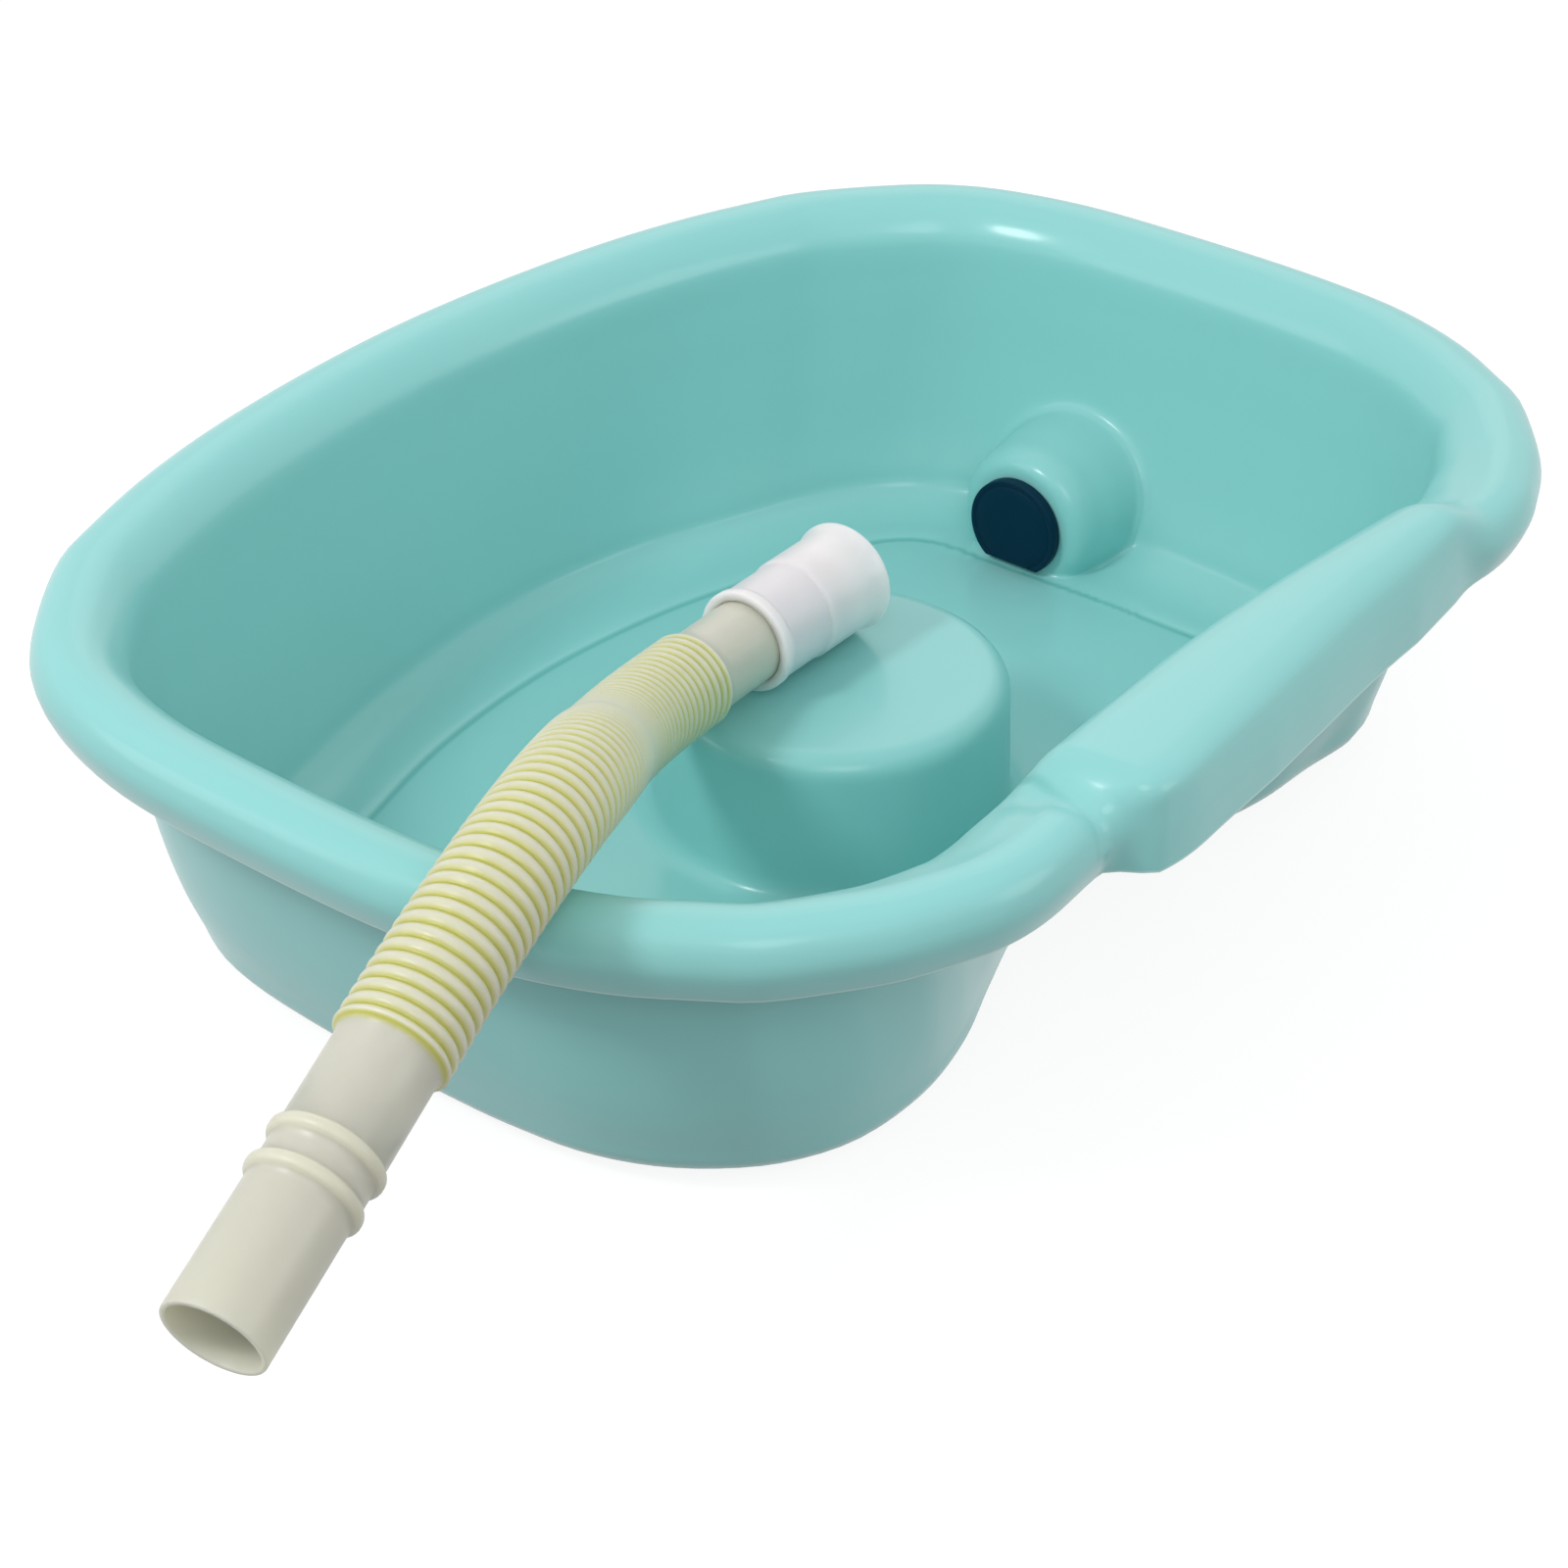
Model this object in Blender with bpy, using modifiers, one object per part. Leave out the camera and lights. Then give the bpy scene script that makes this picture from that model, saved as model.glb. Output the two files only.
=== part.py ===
"""A portable shampoo basin with its pull-out drain plug, its ribbed drain hose and the hose's connector.

The bowl is one plastic sheet. It is lofted as an open surface from the middle of the pedestal outwards, over the
floor, the ledge and the wall to the rolled lip and its skirt, and Solidify gives it its thickness.
Metres, +Z up. X points to the neck rest, Y to the drain, and the basin stands on Z = 0.
"""

import math

import bmesh
import bpy
import numpy as np
from mathutils import Matrix, Vector

# Bowl: the lip's outer outline. The neck rest is on the +X side.
RIM_HALF_LENGTH = 0.265
RIM_BACK_REACH = 0.208
RIM_HEIGHT = 0.1314
RIM_SHARES = [
    (-1.0, 0.0), (-0.988, 0.19), (-0.957, 0.377), (-0.913, 0.528), (-0.855, 0.66), (-0.798, 0.755),
    (-0.663, 0.879), (-0.548, 0.943), (-0.423, 0.977), (-0.278, 0.996), (-0.087, 1.0), (0.154, 0.996),
    (0.346, 0.981), (0.467, 0.958), (0.587, 0.917), (0.683, 0.868), (0.752, 0.828), (0.82, 0.763),
    (0.875, 0.7), (0.916, 0.63), (0.942, 0.57), (0.951, 0.5), (0.943, 0.4), (0.929, 0.2), (0.923, 0.0),
]

# Wall, ledge and floor. The wall's foot, or ridge, lies a run inside the rim, and the floor's crease a ledge inside
# the ridge. The front wall, under the neck rest, leans more and curves less than the others.
SHEET = 0.003
WALL_END_RUN = 0.054
WALL_BACK_RUN = 0.0425
RIDGE_HALF_LENGTH = RIM_HALF_LENGTH - WALL_END_RUN
RIDGE_BACK_REACH = RIM_BACK_REACH - WALL_BACK_RUN
RIDGE_HEIGHT = 0.008
RIDGE_HIGH_SHARES = [
    (-1.0, 0.0), (-1.0, 0.17), (-0.961, 0.355), (-0.876, 0.53), (-0.834, 0.626), (-0.785, 0.735),
    (-0.719, 0.839), (-0.622, 0.919), (-0.495, 0.967), (-0.356, 0.986), (-0.079, 1.0), (0.187, 0.995),
    (0.32, 0.983), (0.453, 0.967), (0.586, 0.934), (0.695, 0.872), (0.785, 0.787), (0.828, 0.673),
    (0.81, 0.536), (0.8, 0.41), (0.765, 0.29), (0.7, 0.175), (0.647, 0.08), (0.628, 0.0),
]
RIDGE_LOW_SHARES = [
    (-1.0, 0.0), (-0.973, -0.171), (-0.931, -0.346), (-0.864, -0.526), (-0.828, -0.621), (-0.785, -0.73),
    (-0.725, -0.839), (-0.628, -0.924), (-0.508, -0.981), (-0.363, -1.009), (-0.085, -1.019), (0.187, -1.014),
    (0.326, -1.005), (0.465, -0.986), (0.592, -0.945), (0.7, -0.882), (0.786, -0.8), (0.835, -0.703),
    (0.842, -0.568), (0.805, -0.43), (0.735, -0.3), (0.672, -0.18), (0.637, -0.08), (0.628, 0.0),
]
LEDGE_END_WIDTH = 0.0305
LEDGE_BACK_WIDTH = 0.0325
CREASE_HALF_LENGTH = RIDGE_HALF_LENGTH - LEDGE_END_WIDTH
CREASE_BACK_REACH = RIDGE_BACK_REACH - LEDGE_BACK_WIDTH
CREASE_SHARES = [
    (-1.0, 0.0), (-0.985, 0.194), (-0.94, 0.404), (-0.85, 0.637), (-0.774, 0.82), (-0.707, 0.92),
    (-0.594, 0.981), (-0.376, 0.994), (0.0, 1.0), (0.301, 1.0), (0.481, 0.994), (0.639, 0.958),
    (0.752, 0.881), (0.812, 0.776), (0.827, 0.665), (0.82, 0.543), (0.808, 0.416), (0.782, 0.299),
    (0.744, 0.188), (0.707, 0.089), (0.684, 0.0),
]
CREASE_WIDTH = 0.004
CREASE_STEP = 0.0013
FLOOR_CLEARANCE = 0.003
LEDGE_CLEARANCE = 0.001
LEDGE_ROUND = 0.007
LEDGE_ROUND_DROP = 0.0014
WALL_RUN_SHARES = (0.11, 0.263, 0.548, 0.84, 0.95)
WALL_RISE_SHARES = (0.037, 0.111, 0.278, 0.574, 0.833)
FRONT_RUN_SHARES = (0.08, 0.18, 0.36, 0.6, 0.82)
FRONT_INSET = 0.01
FRONT_START_SHARE = 0.5
FRONT_BLEND_SHARE = 0.35

# Lip: each ring's way in from the outline, as a share of the width, and its way up from the skirt's edge.
LIP_WIDTH = 0.031
LIP_DEPTH = 0.0244
LIP_INSET_SHARES = (1.0, 0.915, 0.815, 0.69, 0.55, 0.387, 0.21, 0.084, 0.0, 0.052, 0.123)
LIP_RISE_SHARES = (0.369, 0.594, 0.758, 0.893, 0.975, 1.0, 0.951, 0.82, 0.512, 0.205, 0.0)

# Neck rest: a pad on the lip, wide at its -Y end and narrower at its +Y end.
PAD_RISE = 0.008
PAD_LOW_END = -0.094
PAD_LOW_BEVEL = 0.01
PAD_LOW_SWEEP = 0.034
PAD_HIGH_END = 0.107
PAD_HIGH_BEVEL = 0.015
PAD_LOW_OVERHANG = 0.0137
PAD_HIGH_OVERHANG = -0.005
PAD_LOW_TOP_WIDTH = 0.034
PAD_HIGH_TOP_WIDTH = 0.011
PAD_LOW_INSET = 0.0235
PAD_HIGH_INSET = 0.0165
PAD_VALLEY_DEPTH = 0.0035
PAD_VALLEY_HALF_LENGTH = 0.005
PAD_LENGTH_SHARES = (0.0, 0.3, 0.45, 0.62, 0.75, 1.0)
PAD_OVERHANG_SHARES = (0.0, 0.03, 0.16, 0.38, 0.5, 1.0)
PAD_TOP_WIDTH_SHARES = (0.0, 0.25, 0.4, 0.62, 0.77, 1.0)
PAD_INSET_SHARES = (0.0, 0.0, 0.08, 0.3, 0.55, 1.0)
# Across the pad: 0 is the wall's top, 1 the flat top's inner edge, 2 its outer edge and 3 the foot of its side.
PAD_ACROSS_SHARES = (0.0, 0.32, 0.57, 0.84, 1.1, 1.45, 1.88, 2.3, 2.7, 2.95, 2.98)
PAD_UP_SHARES = (0.278, 0.586, 0.8, 0.938, 0.99, 1.0, 0.972, 0.87, 0.63, 0.3, 0.0)

# Pedestal: the round block in the middle of the bowl, which is open from below.
PEDESTAL_X = 0.009
PEDESTAL_RADIUS = 0.0635
PEDESTAL_HEIGHT = 0.0595
PEDESTAL_ROUND = 0.0085
PEDESTAL_FLARE = 0.0013
PEDESTAL_FILLET = 0.0075
ROUND_TURN_SHARES = (0.0, 0.5, 1.0)

# Boss: the drain's round block on the wall, turned about an axis along Y and leaning back with the wall. Its face
# lies this reach in from the ridge.
BOSS_X = -0.0395
BOSS_Z = 0.0223
BOSS_REACH = 0.0274
BOSS_FACE_Y = RIDGE_HALF_LENGTH - BOSS_REACH
BOSS_RADIUS = 0.038
BOSS_LENGTH = 0.0335
BOSS_ROOT = 0.025
BOSS_LEAN = 0.27
BOSS_TOP_DROP_SHARE = 0.07
BOSS_RADIUS_SHARES = (0.565, 0.69, 0.765, 0.81, 0.85, 0.882, 0.905, 0.925, 0.955)
BOSS_LENGTH_SHARES = (0.0, 0.03, 0.1, 0.2, 0.37, 0.615, 0.8, 0.923, 1.0)
DRAIN_RADIUS = 0.01875
TURN_STEPS = 48

# Plug.
PLUG_FIT = 0.0003
PLUG_FLANGE_RADIUS = 0.0206
PLUG_FLANGE_THICKNESS = 0.0048
PLUG_FLANGE_ROUND = 0.0008
PLUG_RING_INSET = 0.003
PLUG_RING_WIDTH = 0.0016
PLUG_RING_RISE = 0.0004
PLUG_STEM_LENGTH = 0.012
PLUG_STEM_TAPER = 0.0006
PLUG_WALL = 0.0022
PLUG_FLAT_DROP = 0.0163

# Hose: its route lies over the lip and ends level on the pedestal. Lengths along it count from the open mouth.
HOSE_ROUTE = [
    (0.1353, -0.4059, 0.1060), (0.1241, -0.3610, 0.1199), (0.1125, -0.3160, 0.1338), (0.1056, -0.2870, 0.1431),
    (0.0976, -0.2572, 0.1493), (0.0871, -0.2279, 0.1494), (0.0733, -0.2005, 0.1420), (0.0567, -0.1772, 0.1283),
    (0.0388, -0.1555, 0.1118), (0.0219, -0.1319, 0.0975), (0.0085, -0.1035, 0.0878), (0.0004, -0.0726, 0.0824),
    (-0.0035, -0.0400, 0.0806), (-0.0043, -0.0185, 0.0806), (-0.0050, 0.0030, 0.0806),
]
HOSE_CUFF_RADIUS = 0.0153
HOSE_RIB_RADIUS = 0.0175
HOSE_GROOVE_RADIUS = 0.0165
HOSE_BORE_RADIUS = 0.0136
HOSE_BEAD_RADIUS = 0.0171
HOSE_BEAD_WIDTH = 0.0026
HOSE_BEAD_SLOPE = 0.0012
HOSE_BEAD_PLACES = (0.0455, 0.0575)
HOSE_RIBS_START = 0.093
HOSE_SHOULDER = 0.002
HOSE_RIBS_LENGTH = 0.297
HOSE_RIBS = 64
HOSE_CUFF_STEPS = 8
HOSE_BORE_STEPS = 60
HOSE_SIDES_RESOLUTION = 2
HOSE_REST_LIFT = 0.0806

# Connector: a sleeve on the hose's far cuff, with a collar, a small step and a flared lip.
CONNECTOR_FIT = 0.0004
CONNECTOR_START = (-0.00375, -0.0340)
CONNECTOR_END = (-0.0058, 0.0252)
CONNECTOR_RADIUS = 0.0183
CONNECTOR_COLLAR_RADIUS = 0.0191
CONNECTOR_COLLAR_WIDTH = 0.004
CONNECTOR_STEP_RADIUS = 0.0191
CONNECTOR_STEP_PLACE = 0.027
CONNECTOR_STEP_LENGTH = 0.0008
CONNECTOR_LIP_RADIUS = 0.0206
CONNECTOR_LIP_WIDTH = 0.0025
CONNECTOR_FLARE_LENGTH = 0.006
CONNECTOR_SOCKET_RADIUS = 0.0172
CONNECTOR_STOP_PLACE = 0.040
CONNECTOR_STOP_WIDTH = 0.002
CONNECTOR_EDGE = 0.0006
CONNECTOR_TURN_STEPS = 32

STATIONS = 64
OUTLINE_STEPS = 24
MERGE = 0.00005

for old in list(bpy.data.objects):
    bpy.data.objects.remove(old, do_unlink=True)

basin = bpy.data.collections.new("portable_shampoo_basin")
bpy.context.scene.collection.children.link(basin)
cutters = bpy.data.collections.new("cutters")
bpy.context.scene.collection.children.link(cutters)


def plastic(name, colour, roughness, transmission=0.0):
    material = bpy.data.materials.new(name)
    material.use_nodes = True
    shader = material.node_tree.nodes["Principled BSDF"]
    shader.inputs["Base Color"].default_value = (*colour, 1.0)
    shader.inputs["Roughness"].default_value = roughness
    shader.inputs["Metallic"].default_value = 0.0
    shader.inputs["Transmission Weight"].default_value = transmission
    material.diffuse_color = (*colour, 1.0)
    return material


TURQUOISE = plastic("turquoise_plastic", (0.235, 0.565, 0.535), 0.32)
NAVY = plastic("navy_rubber", (0.003, 0.028, 0.075), 0.5)
CREAM = plastic("cream_hose_plastic", (0.74, 0.71, 0.47), 0.35)
MILKY = plastic("milky_connector_plastic", (0.78, 0.77, 0.76), 0.3)


def add_object(name, mesh, material, collection=None):
    made = bpy.data.objects.new(name, mesh)
    (collection or basin).objects.link(made)
    if material:
        mesh.materials.append(material)
    return made


def as_cutter(made):
    made.hide_render = True
    made.display_type = "WIRE"
    return made


def smooth_curve(points, steps, closed):
    """Points on a Catmull-Rom curve through the given ones."""
    given = np.array(points, float)
    if closed:
        padded = np.vstack([given[-1:], given, given[:2]])
    else:
        padded = np.vstack([2 * given[:1] - given[1:2], given, 2 * given[-1:] - given[-2:-1]])
    t = np.arange(steps)[:, None] / steps
    found = []
    for a, b, c, d in zip(padded, padded[1:], padded[2:], padded[3:]):
        found.append((2 * b + (c - a) * t + (2 * a - 5 * b + 4 * c - d) * t**2 + (3 * b - a - 3 * c + d) * t**3) / 2)
    if not closed:
        found.append(given[-1:])
    return np.vstack(found)


class Outline:
    """A closed outline that is read at angles about the pedestal's centre. Without low shares it is symmetric."""

    def __init__(self, back_reach, half_length, shares, low_shares=None):
        half = np.array(shares) * (back_reach, half_length)
        low = np.array(low_shares) * (back_reach, half_length) if low_shares else half * (1, -1)
        dense = smooth_curve(np.vstack([half, low[1:-1][::-1]]), OUTLINE_STEPS, True) - (PEDESTAL_X, 0.0)
        angles = np.arctan2(dense[:, 1], dense[:, 0])
        order = np.argsort(angles)
        self.angles = angles[order]
        self.radii = np.hypot(dense[:, 0], dense[:, 1])[order]

    def points(self, angles):
        radii = np.interp(angles, self.angles, self.radii, period=2 * math.pi)
        return np.stack([PEDESTAL_X + radii * np.cos(angles), radii * np.sin(angles)], axis=1)

    def inward(self, angles):
        """The unit normals that point into the bowl."""
        turn = math.radians(1)
        along = self.points(angles + turn) - self.points(angles - turn)
        along /= np.linalg.norm(along, axis=1)[:, None]
        return np.stack([-along[:, 1], along[:, 0]], axis=1)


def ring(plan, height):
    return np.column_stack([plan, np.broadcast_to(height, len(plan))])


def circle(angles, radius):
    return np.stack([PEDESTAL_X + radius * np.cos(angles), radius * np.sin(angles)], axis=1)


def smooth_step(t):
    t = np.clip(t, 0.0, 1.0)
    return t * t * (3 - 2 * t)


RIM = Outline(RIM_BACK_REACH, RIM_HALF_LENGTH, RIM_SHARES)
RIDGE = Outline(RIDGE_BACK_REACH, RIDGE_HALF_LENGTH, RIDGE_HIGH_SHARES, RIDGE_LOW_SHARES)
CREASE = Outline(CREASE_BACK_REACH, CREASE_HALF_LENGTH, CREASE_SHARES)
RIM_FRONT_X = RIM_SHARES[-1][0] * RIM_BACK_REACH
SKIRT_Z = RIM_HEIGHT - LIP_DEPTH
WALL_TOP_Z = SKIRT_Z + LIP_RISE_SHARES[0] * LIP_DEPTH


def pad_stations():
    """The angles at which the pad's bevels and its valley start and end."""
    low_foot = PAD_LOW_END - PAD_LOW_BEVEL
    high_foot = PAD_HIGH_END + PAD_HIGH_BEVEL
    places = [
        low_foot - 2 * PAD_VALLEY_HALF_LENGTH,
        low_foot - PAD_VALLEY_HALF_LENGTH,
        low_foot,
        low_foot + PAD_LOW_BEVEL / 3,
        PAD_LOW_END - PAD_LOW_BEVEL / 3,
        PAD_LOW_END,
        PAD_HIGH_END,
        PAD_HIGH_END + PAD_HIGH_BEVEL / 3,
        high_foot - PAD_HIGH_BEVEL / 3,
        high_foot,
    ]
    return [math.atan2(place, RIM_FRONT_X - PEDESTAL_X) for place in places]


def station_angles():
    """Evenly spaced angles, but with the pad's own where they come close."""
    step = 2 * math.pi / STATIONS
    own = pad_stations()
    even = [i * step for i in range(-STATIONS // 2, STATIONS // 2)]
    kept = [angle for angle in even if min(abs(angle - other) for other in own) > step / 3]
    return np.array(sorted(kept + own))


def front_weight(angles):
    return smooth_step((np.cos(angles) - FRONT_START_SHARE) / FRONT_BLEND_SHARE)


def lip_inset(angles, share):
    """How far in from the outline a lip ring lies. The wall's top lies further in at the front."""
    spare = max(0.0, (share - LIP_INSET_SHARES[3]) / (1 - LIP_INSET_SHARES[3]))
    return share * LIP_WIDTH + spare * FRONT_INSET * front_weight(angles)


def pad_width_at(low, high, shares, along):
    return low + (high - low) * np.interp(along, PAD_LENGTH_SHARES, shares)


def lip_rings(angles):
    """The lip's rings from the wall's top to the skirt's edge, each blended into the pad's section."""
    outer = RIM.points(angles)
    inward = RIM.inward(angles)
    y = outer[:, 1]
    high_foot = PAD_HIGH_END + PAD_HIGH_BEVEL
    along = (y - PAD_LOW_END) / (high_foot - PAD_LOW_END)
    low_foot = PAD_LOW_END - PAD_LOW_BEVEL
    weight = smooth_step((y - low_foot) / PAD_LOW_BEVEL) * smooth_step((high_foot - y) / PAD_HIGH_BEVEL)
    weight = np.where(np.cos(angles) > 0, weight, 0.0)
    valley = np.clip(1 - abs(y - low_foot + PAD_VALLEY_HALF_LENGTH / 2) / (2 * PAD_VALLEY_HALF_LENGTH), 0.0, 1.0)
    valley = np.where(np.cos(angles) > 0, valley * PAD_VALLEY_DEPTH, 0.0)
    inner = outer[:, 0] - pad_width_at(PAD_LOW_INSET, PAD_HIGH_INSET, PAD_INSET_SHARES, along)
    top_edge = inner + pad_width_at(PAD_LOW_TOP_WIDTH, PAD_HIGH_TOP_WIDTH, PAD_TOP_WIDTH_SHARES, along)
    foot = outer[:, 0] + pad_width_at(PAD_LOW_OVERHANG, PAD_HIGH_OVERHANG, PAD_OVERHANG_SHARES, along)
    sweep = np.sqrt(1 - (1 - np.clip((y - low_foot) / PAD_LOW_SWEEP, 0.0, 1.0)) ** 2)
    foot -= (1 - sweep) * PAD_LOW_OVERHANG
    top_edge -= (1 - sweep) * PAD_LOW_OVERHANG
    edges = np.stack([outer[:, 0] - lip_inset(angles, 1.0), inner, top_edge, foot])
    found = []
    for inset, rise, across, up in zip(LIP_INSET_SHARES, LIP_RISE_SHARES, PAD_ACROSS_SHARES, PAD_UP_SHARES):
        plan = outer + inward * lip_inset(angles, inset)[:, None]
        height = SKIRT_Z + rise * LIP_DEPTH - valley * max(0.0, rise - LIP_RISE_SHARES[0])
        lower = min(int(across), len(edges) - 2)
        pad_x = edges[lower] + (edges[lower + 1] - edges[lower]) * (across - lower)
        pad_z = SKIRT_Z + up * (LIP_DEPTH + PAD_RISE)
        plan[:, 0] += weight * (pad_x - plan[:, 0])
        found.append(ring(plan, height + weight * (pad_z - height)))
    return found


def pedestal_rings(angles):
    """The pedestal's rounded edge, its side and the fillet at its foot."""
    found = []
    for share in ROUND_TURN_SHARES:
        turn = share * math.pi / 2
        radius = PEDESTAL_RADIUS - PEDESTAL_ROUND * (1 - math.sin(turn))
        found.append(ring(circle(angles, radius), PEDESTAL_HEIGHT - PEDESTAL_ROUND * (1 - math.cos(turn))))
    for share in ROUND_TURN_SHARES:
        turn = share * math.pi / 2
        radius = PEDESTAL_RADIUS + PEDESTAL_FLARE + PEDESTAL_FILLET * (1 - math.cos(turn))
        found.append(ring(circle(angles, radius), SHEET + PEDESTAL_FILLET * (1 - math.sin(turn))))
    return found


def kept_outside(plan, inner, clearance):
    """The points, moved out from the pedestal's centre where they lie less than the clearance outside the inner ones."""
    centre = np.array([PEDESTAL_X, 0.0])
    reach = np.linalg.norm(plan - centre, axis=1)
    least = np.linalg.norm(inner - centre, axis=1) + clearance
    return centre + (plan - centre) * (np.maximum(reach, least) / reach)[:, None]


def bowl_rings(angles):
    """The rings from the pedestal's top edge to the last one below the wall's top."""
    foot = circle(angles, PEDESTAL_RADIUS + PEDESTAL_FLARE + PEDESTAL_FILLET)
    crease = CREASE.points(angles)
    across = CREASE.inward(angles) * CREASE_WIDTH
    floor_edge = kept_outside(crease + across, foot, FLOOR_CLEARANCE)
    crease = kept_outside(crease, floor_edge, LEDGE_CLEARANCE)
    step = kept_outside(crease - across, crease, LEDGE_CLEARANCE)
    ridge = RIDGE.points(angles)
    ledge_edge = kept_outside(ridge + RIDGE.inward(angles) * LEDGE_ROUND, step, LEDGE_CLEARANCE)
    ridge = kept_outside(ridge, ledge_edge, LEDGE_CLEARANCE)
    wall_top = RIM.points(angles) + RIM.inward(angles) * lip_inset(angles, 1.0)[:, None]
    front = front_weight(angles)
    found = pedestal_rings(angles)
    found.append(ring(floor_edge, SHEET))
    found.append(ring(crease, SHEET))
    found.append(ring(step, SHEET + CREASE_STEP))
    found.append(ring(ledge_edge, RIDGE_HEIGHT - LEDGE_ROUND_DROP))
    found.append(ring(ridge, RIDGE_HEIGHT))
    for run, front_run, rise in zip(WALL_RUN_SHARES, FRONT_RUN_SHARES, WALL_RISE_SHARES):
        plan = ridge + (wall_top - ridge) * (run + (front_run - run) * front)[:, None]
        found.append(ring(plan, RIDGE_HEIGHT + (WALL_TOP_Z - RIDGE_HEIGHT) * rise))
    return found


def lofted(rings):
    """A sheet over the rings, closed in the middle of the first and open at the last, that faces up."""
    made = bmesh.new()
    rows = [[made.verts.new(point) for point in row] for row in rings]
    middle = made.verts.new((PEDESTAL_X, 0.0, rings[0][0][2]))
    for i in range(len(rows[0])):
        made.faces.new((middle, rows[0][i - 1], rows[0][i]))
    for inner, outer in zip(rows, rows[1:]):
        for i in range(len(inner)):
            made.faces.new((inner[i - 1], outer[i - 1], outer[i], inner[i]))
    made.normal_update()
    return made


def mesh_from(made, name):
    mesh = bpy.data.meshes.new(name)
    made.to_mesh(mesh)
    made.free()
    return mesh


def turned(name, profile, steps, material, collection=None):
    """A solid turned about its Z axis. The profile holds (radius, height), down the outer side."""
    mesh = bpy.data.meshes.new(name)
    edges = [(i, i + 1) for i in range(len(profile) - 1)]
    mesh.from_pydata([(radius, 0.0, height) for radius, height in profile], edges, [])
    made = add_object(name, mesh, material, collection)
    screw = made.modifiers.new("turn", "SCREW")
    screw.steps = steps
    screw.render_steps = steps
    screw.use_merge_vertices = True
    screw.merge_threshold = MERGE
    screw.use_smooth_shade = False
    return made


def boolean(target, other, operation):
    modifier = target.modifiers.new(operation.lower() + "_" + other.name, "BOOLEAN")
    modifier.operation = operation
    modifier.solver = "EXACT"
    modifier.object = other
    return modifier


def frozen(made):
    """The object with its modifiers applied and its caps welded, under the same name."""
    bpy.context.view_layer.update()
    graph = bpy.context.evaluated_depsgraph_get()
    mesh = bpy.data.meshes.new_from_object(made.evaluated_get(graph))
    name = made.name
    matrix = made.matrix_world.copy()
    collection = made.users_collection[0]
    bpy.data.objects.remove(made, do_unlink=True)
    work = bmesh.new()
    work.from_mesh(mesh)
    bmesh.ops.remove_doubles(work, verts=work.verts, dist=MERGE)
    bmesh.ops.recalc_face_normals(work, faces=work.faces)
    work.to_mesh(mesh)
    work.free()
    result = bpy.data.objects.new(name, mesh)
    collection.objects.link(result)
    result.matrix_world = matrix
    return result


ALONG_Y = Matrix.Rotation(-math.pi / 2, 4, "X")


def leaned_boss(name, radius_change, front_change):
    """The boss's outer form, or its pocket's, with the end at the wall sheared to the wall's slope."""
    start = BOSS_FACE_Y + front_change
    profile = [(BOSS_RADIUS + radius_change, BOSS_LENGTH + BOSS_ROOT)]
    for radius, length in zip(reversed(BOSS_RADIUS_SHARES), reversed(BOSS_LENGTH_SHARES)):
        profile.append((radius * BOSS_RADIUS + radius_change, length * (BOSS_LENGTH - front_change)))
    profile.append((0.0, 0.0))
    profile.insert(0, (0.0, BOSS_LENGTH + BOSS_ROOT))
    made = turned(name, profile, TURN_STEPS, None, cutters)
    made.matrix_world = Matrix.Translation((BOSS_X, start, BOSS_Z)) @ ALONG_Y
    made = frozen(made)
    for vertex in made.data.vertices:
        share = min(1.0, vertex.co.z / (BOSS_LENGTH - front_change))
        if vertex.co.y < 0:
            vertex.co.y *= 1 - share * BOSS_TOP_DROP_SHARE
        vertex.co.z -= share * BOSS_LEAN * vertex.co.y
    return as_cutter(made)


def build_basin():
    angles = station_angles()
    rings = bowl_rings(angles) + lip_rings(angles)
    shell = add_object("basin_shell", mesh_from(lofted(rings), "basin_shell"), TURQUOISE)
    thickness = shell.modifiers.new("sheet", "SOLIDIFY")
    thickness.thickness = SHEET
    thickness.offset = -1
    thickness.use_even_offset = True

    # The boss is trimmed to the middle of the sheet, so nothing of it shows outside.
    core = lofted(bowl_rings(angles) + lip_rings(angles)[:1])
    offsets = [(vertex, vertex.normal * SHEET / 2) for vertex in core.verts]
    for vertex, offset in offsets:
        vertex.co -= offset
    rim_edges = [edge for edge in core.edges if edge.is_boundary]
    bmesh.ops.contextual_create(core, geom=rim_edges)
    bmesh.ops.recalc_face_normals(core, faces=core.faces)
    inside = as_cutter(add_object("bowl_inside", mesh_from(core, "bowl_inside"), None, cutters))

    boss = leaned_boss("boss_form", 0.0, 0.0)
    boolean(boss, inside, "INTERSECT")
    boolean(shell, boss, "UNION")
    pocket = leaned_boss("boss_pocket", -SHEET, SHEET)
    boolean(shell, pocket, "DIFFERENCE")
    reach = SHEET * 4
    drain = turned(
        "drain_hole",
        [(0.0, reach), (DRAIN_RADIUS, reach), (DRAIN_RADIUS, -reach), (0.0, -reach)],
        TURN_STEPS,
        None,
        cutters,
    )
    drain.matrix_world = Matrix.Translation((BOSS_X, BOSS_FACE_Y, BOSS_Z)) @ ALONG_Y
    boolean(shell, as_cutter(drain), "DIFFERENCE")
    return shell


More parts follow.
